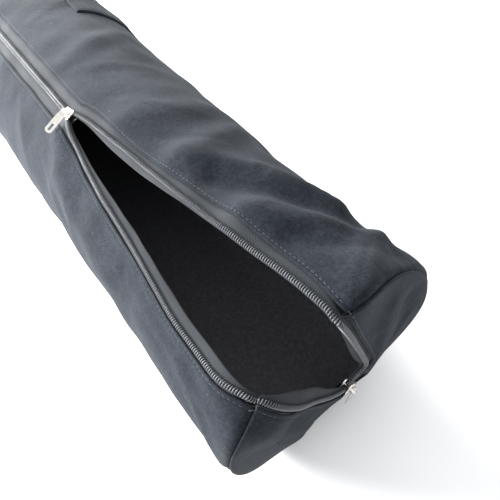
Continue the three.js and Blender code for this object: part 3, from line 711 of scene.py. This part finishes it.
class Finish:
    """A material with one main shader, whose even settings are given by name"""

    def __init__(self, name, **settings):
        self.material = bpy.data.materials.new(name)
        self.material.use_nodes = True
        self.tree = self.material.node_tree
        self.tree.nodes.clear()
        output = self.tree.nodes.new("ShaderNodeOutputMaterial")
        self.shader = self.tree.nodes.new("ShaderNodeBsdfPrincipled")
        self.tree.links.new(self.shader.outputs[0], output.inputs["Surface"])
        for name, value in settings.items():
            self.shader.inputs[name.replace("_", " ").title().replace("Ior", "IOR")].default_value = value

    def node(self, kind, settings=None, values=None, output=0):
        """Adds a node: its settings first, then the values or links of its sockets"""
        made = self.tree.nodes.new(kind)
        for name, value in (settings or {}).items():
            if name == "stops":
                for k, (place, level) in enumerate(value):
                    stop = made.color_ramp.elements[k] if k < 2 else made.color_ramp.elements.new(place)
                    stop.position = place
                    stop.color = (level, level, level, 1)
            else:
                setattr(made, name, value)
        for name, value in (values or {}).items():
            self.feed(made.inputs[name], value)
        return Value(self, made.outputs[output])

    def feed(self, socket, value):
        if isinstance(value, Value):
            self.tree.links.new(value.socket, socket)
        elif hasattr(socket.default_value, "__len__"):
            needs_alpha = len(value) == 3 and len(socket.default_value) == 4
            socket.default_value = (*value, 1) if needs_alpha else value
        else:
            socket.default_value = value

    def math(self, operation, first, second=0):
        return self.node("ShaderNodeMath", {"operation": operation}, {0: first, 1: second})

    def wave(self, place, length):
        """A wave along a place in metres, from -1 to 1"""
        return self.math("SINE", place * (2 * math.pi / length))

    def clamped(self, value):
        return self.node("ShaderNodeClamp", {}, {"Value": value})

    def mix(self, share, first, second):
        return self.node(
            "ShaderNodeMix", {"data_type": "RGBA", "clamp_factor": True}, {0: share, 6: first, 7: second}, 2
        )

    def flat(self):
        """The places in the cloth before sewing, in metres: along and across"""
        places = self.node("ShaderNodeUVMap", {"uv_map": "UVMap"})
        return [self.node("ShaderNodeSeparateXYZ", {}, {0: places}, k) for k in range(2)]

    def noise(self, scale, detail=3, roughness=0.5, stretch=(1, 1, 1)):
        places = self.node("ShaderNodeTexCoord", output=3)
        if stretch != (1, 1, 1):
            places = self.node("ShaderNodeMapping", {}, {"Vector": places, "Scale": stretch})
        return self.node(
            "ShaderNodeTexNoise",
            {},
            {"Vector": places, "Scale": scale, "Detail": detail, "Roughness": roughness},
        )

    def specks(self, scale, size, share):
        """Round specks of a size in metres, in a share of cells"""
        places = self.node("ShaderNodeTexCoord", output=3)
        cells = {"Vector": places, "Scale": scale}
        distance = self.node("ShaderNodeTexVoronoi", {}, cells, 0)
        colour = self.node("ShaderNodeTexVoronoi", {}, cells, 1)
        chance = self.node("ShaderNodeSeparateColor", {}, {0: colour})
        return (distance < size * scale) * (chance < share)

    def bump(self, height, distance, strength=1.0, under=None):
        values = {"Height": height, "Distance": distance, "Strength": strength}
        if under is not None:
            values["Normal"] = under
        return self.node("ShaderNodeBump", {}, values)

    def finished(self, **links):
        for name, value in links.items():
            self.feed(self.shader.inputs[name.replace("_", " ").title()], value)
        return self.material


def scaled(colour, share):
    """A colour made darker or lighter by a share"""
    return tuple(share * c for c in colour)


def twill_weave(finish):
    """The slanting ribs and the yarns of a twill, from -1 to 1"""
    along, across = finish.flat()
    slant = (along + across) * (2 * math.pi / (1.25 * MM))
    ribs = finish.math("SINE", slant + finish.noise(900, 2) * 2.5)
    yarns = finish.wave(across, 0.62 * MM)
    return ribs * 0.7 + yarns * 0.3


def black_twill(colours):
    """Brushed black cotton twill with a soft nap, worn ridges and a little lint"""
    finish = Finish(
        "black_twill", specular_ior_level=0.12, sheen_weight=0.05, sheen_roughness=0.4,
        sheen_tint=(0.86, 0.92, 1, 1),
    )
    weave = twill_weave(finish)
    fuzz = finish.noise(1500, 3, 0.75)
    nap = finish.noise(420, 4, 0.7)
    patches = finish.noise(16, 4, 0.55)
    rubbed = finish.noise(95, 3, 0.6)
    wear = 0.32 + (patches - 0.5) * 0.7 + (rubbed - 0.5) * 0.9
    worn = finish.clamped(wear + (nap - 0.5) * 2.2 + (fuzz - 0.5) * 2.2 + weave * 0.16)
    cloth = finish.mix(worn, colours.cloth, colours.cloth_worn)
    lint = finish.specks(150, 0.24 * MM, 0.13) * finish.clamped((patches - 0.3) * 4)
    crumple = finish.bump(rubbed, 0.8 * MM, 0.5)
    soft = finish.bump(nap, 0.3 * MM, 0.7, crumple)
    return finish.finished(
        base_color=finish.mix(lint, cloth, colours.lint),
        roughness=0.86 + (nap - 0.5) * 0.2,
        normal=finish.bump(weave + fuzz * 1.5, 0.12 * MM, 0.7, soft),
    )


def twill_reverse(colours):
    """The reverse side of the twill, which takes less dye, made paler still as painted light on the dim
    inside of the bag
    """
    finish = Finish("twill_reverse", specular_ior_level=0.15)
    weave = twill_weave(finish)
    nap = finish.noise(420, 4, 0.7)
    # Both tones carry painted light for the bag's dim inside. The mix between them follows the nap and the
    # weave.
    dark = scaled(colours.reverse, 0.5)
    return finish.finished(
        base_color=finish.mix(finish.clamped(0.5 + (nap - 0.5) * 2 + weave * 0.3), dark, colours.reverse),
        roughness=0.85 + nap * 0.1,
        normal=finish.bump(weave, 0.1 * MM, 0.6),
    )


def woven_tape(colours):
    """The zip's tape: a tight herringbone of polyester"""
    finish = Finish("woven_tape", specular_ior_level=0.2, sheen_weight=0.06, sheen_roughness=0.4)
    along, across = finish.flat()
    zigzag = finish.math("PINGPONG", across, 1.6 * MM)
    chevrons = finish.wave(along + zigzag, 1.1 * MM)
    yarns = finish.wave(across, 0.5 * MM)
    weave = chevrons * 0.6 + yarns * 0.4
    fuzz = finish.noise(600, 3, 0.6)
    dark = scaled(colours.tape, 0.45)
    tone = finish.clamped(0.55 + weave * 0.28 + (fuzz - 0.5) * 0.6)
    return finish.finished(
        base_color=finish.mix(tone, dark, colours.tape),
        roughness=0.7 + fuzz * 0.2,
        normal=finish.bump(weave, 0.12 * MM, 0.8),
    )


def coil_nylon(colours):
    """Satin black nylon, scuffed where the slider rubs it"""
    finish = Finish("coil_nylon", specular_ior_level=0.6)
    scuffs = finish.noise(700, 3, 0.6)
    pale = scaled(colours.nylon, 2.2)
    return finish.finished(
        base_color=finish.mix(finish.clamped((scuffs - 0.42) * 2.5), colours.nylon, pale),
        roughness=0.22 + scuffs * 0.2,
        normal=finish.bump(scuffs, 0.04 * MM, 0.4),
    )


def sewing_thread(colours):
    """Twisted thread"""
    finish = Finish("sewing_thread", specular_ior_level=0.3, sheen_weight=0.3, sheen_roughness=0.4)
    fuzz = finish.noise(1500, 2, 0.6)
    dark = scaled(colours.thread, 0.5)
    return finish.finished(
        base_color=finish.mix(fuzz, dark, colours.thread), roughness=0.7 + fuzz * 0.2,
        normal=finish.bump(fuzz, 0.06 * MM, 0.6),
    )


def polished_nickel(colours):
    """Slightly warm nickel plating with fine scratches and dull places"""
    finish = Finish("polished_nickel", metallic=1.0)
    dull = finish.noise(260, 4, 0.6)
    scratches = finish.noise(900, 2, 0.5, (1, 6, 1))
    shade = scaled(colours.nickel, 0.72)
    return finish.finished(
        base_color=finish.mix(finish.clamped((dull - 0.45) * 2), colours.nickel, shade),
        roughness=finish.clamped(0.16 + (dull - 0.4) * 0.35 + (scratches - 0.5) * 0.15),
        normal=finish.bump(scratches, 0.015 * MM, 0.4),
    )


def studio_floor(colours):
    finish = Finish("studio_floor", specular_ior_level=0.2)
    grain = finish.noise(30, 3, 0.5)
    pale = scaled(colours.floor, 0.97)
    return finish.finished(
        base_color=finish.mix(grain, colours.floor, pale), roughness=0.75 + grain * 0.1
    )


def finish_panel(panel, sizes, node):
    """Gives a sheet of twill its two sides and its thickness, and settles it in its node's place"""
    # The inner faces get the reverse, which holds painted light for the bag's dim inside.
    dress(panel, black_twill, twill_reverse)
    thicken(panel, sizes.ply)
    settle_piece(panel, "bag", "cloth", node)


# Profiles of the cloth's edges


def hem_profile(sizes):
    """A cloth edge that is folded under, from the hidden end of its hem to the flat cloth: the
    distance in from the edge and the lift of the cloth's face, row by row"""
    radius = sizes.cloth * 0.47
    rows = [(sizes.hem, -2 * radius), (sizes.hem * 0.6, -2 * radius), (sizes.hem * 0.3, -2 * radius)]
    for angle in (-90, -55, -20, 15, 50, 90):
        turn = math.radians(angle)
        rows.append((radius * (1.15 - math.cos(turn)), radius * (math.sin(turn) - 1)))
    inset = sizes.stitch_inset
    rows += [
        (inset * 0.72, -0.02 * MM), (inset, -0.28 * MM), (inset * 1.3, -0.02 * MM), (inset * 1.8, 0.12 * MM),
    ]
    return rows


def shoulder_profile(shape):
    """The tube's end, rounded down into the seam: how far short of its end, the lift, and the inset of
    the zip's edges"""
    rim = shape.RIM_INSET
    return [
        (4 * MM, -0.05 * rim, 0.2 * MM), (2.6 * MM, -0.2 * rim, 0.4 * MM), (1.4 * MM, -0.5 * rim, 0.7 * MM),
        (0.5 * MM, -0.9 * rim, 1.0 * MM), (0.1 * MM, -1.4 * rim, 1.2 * MM), (0, -2.2 * rim, 1.2 * MM),
        (0, -4 * rim, 1.2 * MM),
    ]


class RollBagOperator(bpy.types.Operator):
    """Common part of the operators that build the bag"""

    bl_options = {"REGISTER", "UNDO"}

    def execute(self, context):
        self.build(BagShape(context.scene.roll_bag_sizes))
        return {"FINISHED"}


class BuildMainPanel(RollBagOperator):
    """Builds the cloth tube with its hems along the zip"""

    bl_idname = "roll_bag.main_panel"
    bl_label = "Main Panel"

    def build(self, shape):
        sizes = shape.sizes
        near = [(shape.half_length - short, lift, inset) for short, lift, inset in shoulder_profile(shape)]
        far = [(-x, lift, inset) for x, lift, inset in reversed(near)]
        far_x = np.linspace(-shape.half_length + 6 * MM, 0.03, 120)
        near_x = np.linspace(0.032, shape.half_length - shape.SHOULDER, 150)
        rows = np.array(far + [(x, 0, 0) for x in (*far_x, *near_x)] + near)
        x, drop, inset = rows[:, 0:1], rows[:, 1:2], rows[:, 2:3]
        hem = np.array(hem_profile(sizes))
        left = shape.turn_beside("left", x, at_edge)
        right = 360 + shape.turn_beside("right", x, at_edge)
        # The edges of the cloth waver a little, most between the stitches' pulls
        waver = uneven_wave(x, 0.25 * MM, 11 * MM, 1.3, 29 * MM)
        left = left + (inset + waver) / shape.per_turn
        right = right - (inset - waver) / shape.per_turn
        span = (right - left) * shape.per_turn
        first, last = hem[-1, 0] + 2.2 * MM, span - hem[-1, 0] - 2.2 * MM
        between = first + (last - first) * np.linspace(0, 1, 118)[None]
        distance = np.hstack([
            np.broadcast_to(hem[:, 0], (len(rows), len(hem))), between, span - hem[::-1, 0],
        ])
        lift = np.hstack([
            np.broadcast_to(hem[:, 1], (len(rows), len(hem))), np.zeros_like(between),
            np.broadcast_to(hem[::-1, 1], (len(rows), len(hem))),
        ])
        # In the seams the layer that is folded under lies further in than the layer over it
        folded = np.minimum(lift, 0) * smooth(-drop / shape.RIM_INSET) * np.sign(x)
        points = shape.tube_point(x + folded, left + distance / shape.per_turn, lift + drop) + shape.origin
        around = np.concatenate([[0], np.cumsum(np.linalg.norm(np.diff(points[150], axis=0), axis=1))])
        flat = np.stack(np.broadcast_arrays(x, around[None]), axis=-1)
        panel = cloth_grid("main_panel_cloth", points, flat, (0, 0, -1))
        finish_panel(panel, sizes, "main_panel")


class BuildNearEnd(RollBagOperator):
    """Builds the near end panel with its hemmed slit and turned-in rim"""

    bl_idname = "roll_bag.near_end"
    bl_label = "Near End Panel"

    NARROW_HEM = 0.25
    # How far short of the rim and how deep, for each row of the cloth that is turned in there
    RIM_ROWS = np.array([
        (1.6, 0.02), (0.9, 0.12), (0.2, 0.45), (-0.2, 0.85), (-0.2, 1.2), (0.6, 1.5), (3.5, 1.5), (7, 1.5),
    ]) * MM

    def build(self, shape):
        sizes = shape.sizes
        # The cloth's edge sweeps past the place where the coils bend in to the slider
        bend = len(MOUTH_ON_END)
        left = np.delete(shape.beside_on_end("left", at_edge), bend, axis=0)
        right = np.delete(shape.beside_on_end("right", at_edge), bend, axis=0)
        control = np.vstack([left, right[::-1]])
        control = np.hstack([control, np.zeros((len(control), 1))])
        fine = through(control, np.linspace(0, len(control) - 1, 900))[:, :2]
        reach = np.concatenate([[0], np.cumsum(np.linalg.norm(np.diff(fine, axis=0), axis=1))])
        share = np.linspace(0, 1, 221)
        slit = np.stack([np.interp(share * reach[-1], reach, column) for column in fine.T], axis=-1)
        first = float(shape.turn_beside("left", shape.half_length, at_edge))
        last = 360 + float(shape.turn_beside("right", shape.half_length, at_edge))
        turn = np.radians(first + (last - first) * share)
        rim = np.stack([
            -shape.rim_width * np.sin(turn), shape.axis_height + shape.rim_height * np.cos(turn)
        ], axis=-1)
        step = rim - slit
        span = np.linalg.norm(step, axis=1)
        way = step / span[:, None]
        hem = np.array(hem_profile(sizes))
        # The slit bends too sharply for a broad hem, so the part that is turned under is narrow here
        hem[:3, 0] *= self.NARROW_HEM
        # Where the slit comes near the rim, both of their profiles are narrower
        shrink = np.minimum(span / (hem[-1, 0] + 6 * MM), 1)[:, None]
        first = (hem[-1, 0] + 1.5 * MM) * shrink
        last = span[:, None] - 3 * MM * shrink
        middle = first + (last - first) * np.linspace(0, 1, 30)[None]
        to_rim = self.RIM_ROWS[:, 0] * shrink
        distance = np.hstack([hem[:, 0] * shrink, middle, span[:, None] - to_rim])
        depth = np.hstack([
            np.broadcast_to(-hem[:, 1], (len(share), len(hem))), np.zeros_like(middle),
            np.broadcast_to(self.RIM_ROWS[:, 1], (len(share), len(self.RIM_ROWS))),
        ])
        y = slit[:, 0:1] + way[:, 0:1] * distance
        z = slit[:, 1:2] + way[:, 1:2] * distance
        points = shape.end_point(y, z, depth)
        points[..., 2] = settle(points[..., 2], shape.RIM_INSET, shape.SETTLED_BLEND)
        flat = np.stack([y, z], axis=-1)
        panel = cloth_grid("near_end_cloth", points + shape.origin, flat, (1, 0, 0))
        finish_panel(panel, sizes, "near_end_panel")


class BuildFarEnd(RollBagOperator):
    """Builds the round far end panel"""

    bl_idname = "roll_bag.far_end"
    bl_label = "Far End Panel"

    def build(self, shape):
        sizes = shape.sizes
        side = np.linspace(-1, 1, 91)
        a, b = np.meshgrid(side, side, indexing="ij")
        y = a * np.sqrt(1 - b * b / 2)
        z = b * np.sqrt(1 - a * a / 2)
        reach = np.hypot(y, z)
        rim = 2.2 * MM
        places = np.array([0, 0.88, 0.91, 0.935, 0.955, 0.975, 1])
        inset = np.array([shape.rim_width, 1.6 * MM, 0.5 * MM, -0.1 * MM, 0.2 * MM, 2 * MM, 8 * MM])
        depth = np.array([0, 0, 0.3, 0.8, 1.2, 1.5, 1.5]) * MM
        radius = 1 - np.interp(reach, places, inset) / shape.rim_width
        turned = np.interp(reach, places, depth)
        scale = radius / np.maximum(reach, 1e-9)
        y, z = y * scale, z * scale
        folds = ridge(y, z, (-0.5, 0.3), (0.3, -0.5), 1.4 * MM, 0.22)
        folds = folds + ridge(y, z, (0.1, 0.6), (0.5, 0), -1 * MM, 0.2)
        dome = (sizes.far_dome + folds) * (1 - np.minimum(radius, 1) ** 2)
        x = -shape.half_length - shape.CLEARANCE - sizes.cloth - dome + turned
        z = settle(shape.axis_height + shape.rim_height * z, rim, shape.SETTLED_BLEND)
        points = np.stack([x, shape.rim_width * y, z], axis=-1)
        flat = np.stack([y, z], axis=-1) * shape.rim_width
        panel = cloth_grid("far_end_cloth", points + shape.origin, flat, (-1, 0, 0))
        finish_panel(panel, sizes, "far_end_panel")


class BuildPocket(RollBagOperator):
    """Builds the flat pocket on the tube's side"""

    bl_idname = "roll_bag.pocket"
    bl_label = "Pocket"

    LENGTH = 150 * MM
    NEAR_EDGE = -27 * MM
    TOP_TURN = -15
    LOW_TURN = -98
    THICKNESS = 1.4 * MM
    PUFF = 2.6 * MM

    def build(self, shape):
        s, t = np.meshgrid(edge_steps(60), edge_steps(56), indexing="ij")
        x = self.NEAR_EDGE - self.LENGTH * s
        turn = self.TOP_TURN + (self.LOW_TURN - self.TOP_TURN) * t
        height = (self.TOP_TURN - self.LOW_TURN) * shape.per_turn
        side = np.minimum(s, 1 - s) * self.LENGTH
        from_low, from_top = (1 - t) * height, t * height
        sewn = np.minimum(side, from_low)
        edge = np.minimum(sewn, from_top)
        lift = (shape.CLEARANCE + self.THICKNESS) * smooth(edge / (1.1 * MM)) ** 0.5 + pocket_puff(s, t)
        # Stitches draw the cloth down in a line along the sewn edges and below the hemmed mouth
        lift -= 0.4 * MM * np.exp(-(((sewn - 3 * MM) / (0.9 * MM)) ** 2))
        lift -= 0.35 * MM * np.exp(-(((from_top - 14 * MM) / (0.9 * MM)) ** 2))
        points = shape.tube_point(x, turn, lift + 0.1 * MM) + shape.origin
        flat = np.stack([x, turn * shape.per_turn], axis=-1)
        piece = cloth_grid("pocket_cloth", points, flat, (0, 0.8, 0.6))
        dress(piece, black_twill)
        thicken(piece, 0.6 * MM)
        settle_piece(piece, "bag", "cloth", "pocket")


def pocket_puff(s, t):
    """How far the pocket stands off the tube, at shares along it and down it"""
    return BuildPocket.PUFF * np.sin(np.pi * s) * (1 - t * t)


def edge_steps(count):
    """Steps from 0 to 1 that are closer together near both ends"""
    even = np.linspace(0, 1, count)
    return 0.55 * even + 0.45 * smooth(smooth(even))


class BuildTapes(RollBagOperator):
    """Builds the zip's two woven tapes"""

    bl_idname = "roll_bag.tapes"
    bl_label = "Zip Tapes"

    ALLOWANCE = 5 * MM
    CORNER_DIVE = 3.2 * MM

    # Shares of the way out to the cloth's edge or in past the coil, and the lift off the tape's level in
    # millimetres
    ACROSS = (
        (-1, -0.55), (-0.8, -0.3), (-0.6, -0.12), (-0.4, -0.03), (-0.2, 0), (0, 0), (0.15, 0), (0.3, 0.05),
        (0.45, 0.1), (0.6, 0.08), (0.75, 0.02), (0.9, -0.06), (1, -0.12), (1.15, -0.2), (1.35, -0.3),
        (1.6, -0.4),
    )

    def build(self, shape):
        shares = np.array([share for share, _ in self.ACROSS])
        for side in SIDES:
            lines = [
                shape.zip_line(side, self.at_share(share), shape.tape_top + up * MM)
                for share, up in self.ACROSS
            ]
            points = np.stack([line.points for line in lines], axis=1)
            coil = lines[list(shares).index(0)]
            out = np.linalg.norm(points - coil.points[:, None], axis=2) * np.sign(shares)
            reach = coil.reach[:, None]
            wave = uneven_wave(reach, 0.3 * MM, 8 * MM, 1.5, 31 * MM) * smooth(out / (5 * MM))
            # Past the coil the tape curls down into the bag
            curl = -(np.maximum(-out, 0) ** 2) / (22 * MM)
            flutter = uneven_wave(reach, 0.5 * MM, 6 * MM, 2, 23 * MM) * smooth(-out / (9 * MM))
            # The seam allowance dives into the bag where the zip turns over the near end's seam
            seam_turn = shape.turn_beside(side, shape.half_length, at_coil)
            corner = coil.nearest(shape.tube_point(shape.half_length, seam_turn, 0) + shape.origin)
            hidden = smooth((shares - 0.7) / 0.4)
            dive = -self.CORNER_DIVE * hidden * np.exp(-(((reach - corner) / (6 * MM)) ** 2))
            points = points + coil.normals[:, None] * (wave + curl + flutter + dive)[..., None]
            flat = np.stack([np.broadcast_to(reach, out.shape), out], axis=-1)
            middle = coil.normals[len(points) // 2]
            tape = cloth_grid(f"zip_tape_{side}_web", points, flat, middle)
            finish_with(tape, "SUBSURF", levels=1, render_levels=1)
            dress(tape, woven_tape)
            thicken(tape, 0.5 * MM)
            settle_piece(tape, "bag", "zip_tape", f"zip_tape_{side}")

    def at_share(self, share):
        """The distance of a place on the tape, at least as far in as the coil's own edge"""
        least = 0.5 * MM
        if share > 1:
            return lambda edge, tape: edge + (share - 1) * self.ALLOWANCE
        return lambda edge, tape: share * edge if share >= 0 else share * np.maximum(tape, least)


class BuildCoils(RollBagOperator):
    """Builds the zip's two nylon coils, meshed where the zip is closed"""

    bl_idname = "roll_bag.coils"
    bl_label = "Zip Coils"

    def build(self, shape):
        sizes = shape.sizes
        lines = {side: shape.coil_line(side) for side in SIDES}
        count = int(lines["left"].length / sizes.coil_pitch) - 1
        for side, line in lines.items():
            coil = self.straight_coil(sizes, count, f"zip_coil_{side}_teeth")
            places = vertices(coil)
            # Both coils have as many teeth, which meet at the two sliders
            shift = sizes.coil_pitch / 2 if side == "right" else 0
            places[:, 0] = self.paced(shape, places[:, 0], lines["left"], line) + shift
            move_vertices(coil, line.carry(places))
            dress(coil, coil_nylon)
            settle_piece(coil, "bag", "zip_coil", f"zip_coil_{side}")

    def straight_coil(self, sizes, count, name):
        """A helix along X from a ring of wire that is screwed along it"""
        wire = sizes.coil_wire / 2
        radius = sizes.coil_height / 2 - wire
        deselect()
        bpy.ops.mesh.primitive_circle_add(
            vertices=5, radius=wire, location=(wire, 0, radius), rotation=(math.pi / 2, 0, 0)
        )
        coil = name_piece(bpy.context.object, name)
        bpy.ops.object.transform_apply(location=True, rotation=True, scale=True)
        finish_with(
            coil, "SCREW", axis="X", angle=2 * math.pi, screw_offset=sizes.coil_pitch, iterations=count,
            steps=12, render_steps=12, use_normal_calculate=True,
        )
        take(coil)
        bpy.ops.object.mode_set(mode="EDIT")
        bpy.ops.mesh.select_all(action="SELECT")
        bpy.ops.mesh.fill_holes(sides=0)
        bpy.ops.mesh.select_all(action="SELECT")
        bpy.ops.mesh.normals_make_consistent(inside=False)
        bpy.ops.object.mode_set(mode="OBJECT")
        bpy.ops.object.shade_smooth()
        places = vertices(coil)
        # The wire is pressed flat across the tape, and its heads are broad
        places[:, 1] *= (sizes.coil_width / 2) / (radius + wire)
        move_vertices(coil, places)
        return coil

    def paced(self, shape, distance, first, line):
        """A distance along the left coil as one along this coil, so that the teeth keep their pairs"""
        along = shape.slider_along + shape.half_length
        end = np.array([shape.half_length, *shape.slider_end]) + shape.origin
        marks = [0, along, first.nearest(end), first.length]
        return np.interp(distance, marks, [0, along, line.nearest(end), line.length])


class BuildStitching(RollBagOperator):
    """Builds the rows of stitches beside the zip and on the pocket"""

    bl_idname = "roll_bag.stitching"
    bl_label = "Stitching"

    def build(self, shape):
        sizes = shape.sizes
        for side in SIDES:
            line = shape.zip_line(side, lambda edge, tape: edge + sizes.stitch_inset, 0)
            self.stitched(sizes, line, 6 * MM, line.length - 1 * MM, f"stitches_{side}")
        for name, line in self.pocket_lines(shape).items():
            self.stitched(sizes, line, 2 * MM, line.length - 2 * MM, name)

    def pocket_lines(self, shape):
        """Lines along the pocket's sewn edges and its hem"""
        pocket = BuildPocket
        inset = 3 * MM
        turn_inset = inset / shape.per_turn
        near, far = pocket.NEAR_EDGE - inset, pocket.NEAR_EDGE - pocket.LENGTH + inset
        low = pocket.LOW_TURN + turn_inset
        hem = pocket.TOP_TURN - 14 * MM / shape.per_turn
        lift = pocket.THICKNESS + shape.CLEARANCE - 0.2 * MM
        steps = np.linspace(0, 1, 60)
        down = pocket.TOP_TURN + (low - pocket.TOP_TURN) * steps
        away = near + (far - near) * steps
        routes = {
            "pocket_stitches_near": (np.full_like(steps, near), down),
            "pocket_stitches_far": (np.full_like(steps, far), down),
            "pocket_stitches_low": (away, np.full_like(steps, low)),
            "pocket_stitches_hem": (away, np.full_like(steps, hem)),
        }
        lines = {}
        for name, (x, turn) in routes.items():
            s = (pocket.NEAR_EDGE - x) / pocket.LENGTH
            t = (turn - pocket.TOP_TURN) / (pocket.LOW_TURN - pocket.TOP_TURN)
            points = shape.tube_point(x, turn, lift + pocket_puff(s, t)) + shape.origin
            normals = shape.tube_normal(turn)
            along = unit(np.gradient(points, axis=0))
            lines[name] = Line(points, unit(np.cross(along, normals)), normals)
        return lines

    def stitched(self, sizes, line, start, end, name):
        """One row of stitches: a stitch modelled once, repeated and laid along the line"""
        half = sizes.thread / 2
        deselect()
        bpy.ops.mesh.primitive_uv_sphere_add(
            segments=6, ring_count=5, radius=half, rotation=(0, math.pi / 2, 0)
        )
        row = name_piece(bpy.context.object, name)
        bpy.ops.object.transform_apply(location=True, rotation=True, scale=True)
        places = vertices(row)
        stretch = sizes.stitch_pitch * 0.8 / sizes.thread
        places[:, 0] = np.sign(places[:, 0]) * np.sqrt(np.abs(places[:, 0]) / half) * half * stretch
        # A stitch dips into the cloth at both ends
        places[:, 2] -= (places[:, 0] / (half * stretch)) ** 2 * half * 0.9
        move_vertices(row, places)
        run_of(row, int((end - start) / sizes.stitch_pitch), sizes.stitch_pitch)
        take(row)
        bpy.ops.object.shade_smooth()
        places = vertices(row)
        places[:, 0] += start + sizes.stitch_pitch / 2
        move_vertices(row, line.carry(places))
        dress(row, sewing_thread)
        settle_piece(row, "bag", "cloth")


class BuildMetal(RollBagOperator):
    """Rounds off the sliders and their pulls"""

    bl_idname = "roll_bag.metal"
    bl_label = "Sliders and Pulls"

    PIECES = (
        ("slider_top", "bag", 0.28 * MM), ("slider_end", "bag", 0.28 * MM),
        ("pull_top", "top_pull", 0.22 * MM), ("pull_end", "end_pull", 0.22 * MM),
    )

    def build(self, shape):
        for node, body, roundness in self.PIECES:
            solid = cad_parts[node]
            piece = bpy.data.objects.new(f"{node}_plated", solid.data.copy())
            bpy.context.scene.collection.objects.link(piece)
            take(piece)
            bpy.ops.object.mode_set(mode="EDIT")
            bpy.ops.mesh.select_all(action="SELECT")
            bpy.ops.mesh.remove_doubles(threshold=0.01 * MM)
            bpy.ops.mesh.dissolve_limited(angle_limit=math.radians(1))
            bpy.ops.object.mode_set(mode="OBJECT")
            finish_with(
                piece, "BEVEL", width=roundness, segments=3, limit_method="ANGLE",
                angle_limit=math.radians(35), use_clamp_overlap=True,
            )
            take(piece)
            bpy.ops.object.shade_smooth_by_angle(angle=math.radians(50))
            dress(piece, polished_nickel)
            settle_piece(piece, body, "zip_metal", node)


class BuildStage(RollBagOperator):
    """Builds the floor, the lights and the camera"""

    bl_idname = "roll_bag.stage"
    bl_label = "Stage"

    FLOOR_SIZE = 12
    LENS = 37.08
    CAMERA_PLACE = (0.42739, -0.12443, 0.3276)
    CAMERA_RIGHT = (0.5836, 0.8121, 0)
    CAMERA_UP = (-0.6006, 0.4317, 0.673)
    # Place, aim, size in metres and power in watts of each soft light
    Light = namedtuple("Light", "name place aim size power")
    LIGHTS = (
        Light("side", (-0.7, -1.05, 0.55), (0, 0, 0.06), 0.7, 90),
        Light("far", (-0.75, -0.05, 0.5), (-0.05, 0, 0.12), 0.6, 24),
    )

    def build(self, shape):
        deselect()
        bpy.ops.mesh.primitive_plane_add(size=self.FLOOR_SIZE, location=(0, 0, -0.5 * MM))
        floor = name_piece(bpy.context.object, "floor")
        bpy.ops.object.transform_apply(location=True, rotation=True, scale=True)
        dress(floor, studio_floor)
        self.light_up()
        self.aim_camera()

    def light_up(self):
        world = bpy.data.worlds.new("studio")
        world.use_nodes = True
        world.node_tree.nodes["Background"].inputs["Color"].default_value = (0.97, 0.985, 1, 1)
        world.node_tree.nodes["Background"].inputs["Strength"].default_value = 1.2
        bpy.context.scene.world = world
        for light in self.LIGHTS:
            place = Vector(light.place)
            turn = (Vector(light.aim) - place).to_track_quat("-Z", "Y").to_euler()
            bpy.ops.object.light_add(type="AREA", location=place, rotation=turn)
            lamp = bpy.context.object
            lamp.name = light.name
            lamp.data.shape = "DISK"
            lamp.data.size = light.size
            lamp.data.energy = light.power
            lamp.visible_camera = False
        bpy.context.scene.view_settings.view_transform = "Standard"

    def aim_camera(self):
        bpy.ops.object.camera_add(location=self.CAMERA_PLACE)
        camera = bpy.context.object
        right, up = Vector(self.CAMERA_RIGHT).normalized(), Vector(self.CAMERA_UP).normalized()
        axes = Matrix((right, up, right.cross(up))).transposed()
        camera.rotation_euler = axes.to_euler()
        camera.data.lens = self.LENS
        camera.data.sensor_width = 36
        camera.data.clip_start = 0.01
        bpy.context.scene.camera = camera


class RollBagPanel(bpy.types.Panel):
    """Sidebar panel with the bag's sizes, colours and operators"""

    bl_idname = "VIEW3D_PT_roll_bag"
    bl_label = "Roll Bag"
    bl_space_type = "VIEW_3D"
    bl_region_type = "UI"
    bl_category = "Roll Bag"

    def draw(self, context):
        for operator in OPERATORS:
            self.layout.operator(operator.bl_idname)
        for group in (context.scene.roll_bag_sizes, context.scene.roll_bag_colours):
            for name in group.__annotations__:
                self.layout.prop(group, name)


OPERATORS = (
    BuildMainPanel, BuildNearEnd, BuildFarEnd, BuildPocket, BuildTapes, BuildCoils, BuildStitching,
    BuildMetal, BuildStage,
)
CLASSES = (BagSizes, BagColours, *OPERATORS, RollBagPanel)


def register():
    for cls in CLASSES:
        bpy.utils.register_class(cls)
    bpy.types.Scene.roll_bag_sizes = PointerProperty(type=BagSizes)
    bpy.types.Scene.roll_bag_colours = PointerProperty(type=BagColours)


def unregister():
    del bpy.types.Scene.roll_bag_colours
    del bpy.types.Scene.roll_bag_sizes
    for cls in reversed(CLASSES):
        bpy.utils.unregister_class(cls)


def main():
    register()
    bpy.ops.roll_bag.main_panel()
    bpy.ops.roll_bag.near_end()
    bpy.ops.roll_bag.far_end()
    bpy.ops.roll_bag.pocket()
    bpy.ops.roll_bag.tapes()
    bpy.ops.roll_bag.coils()
    bpy.ops.roll_bag.stitching()
    bpy.ops.roll_bag.metal()
    bpy.ops.roll_bag.stage()


if __name__ == "__main__":
    main()
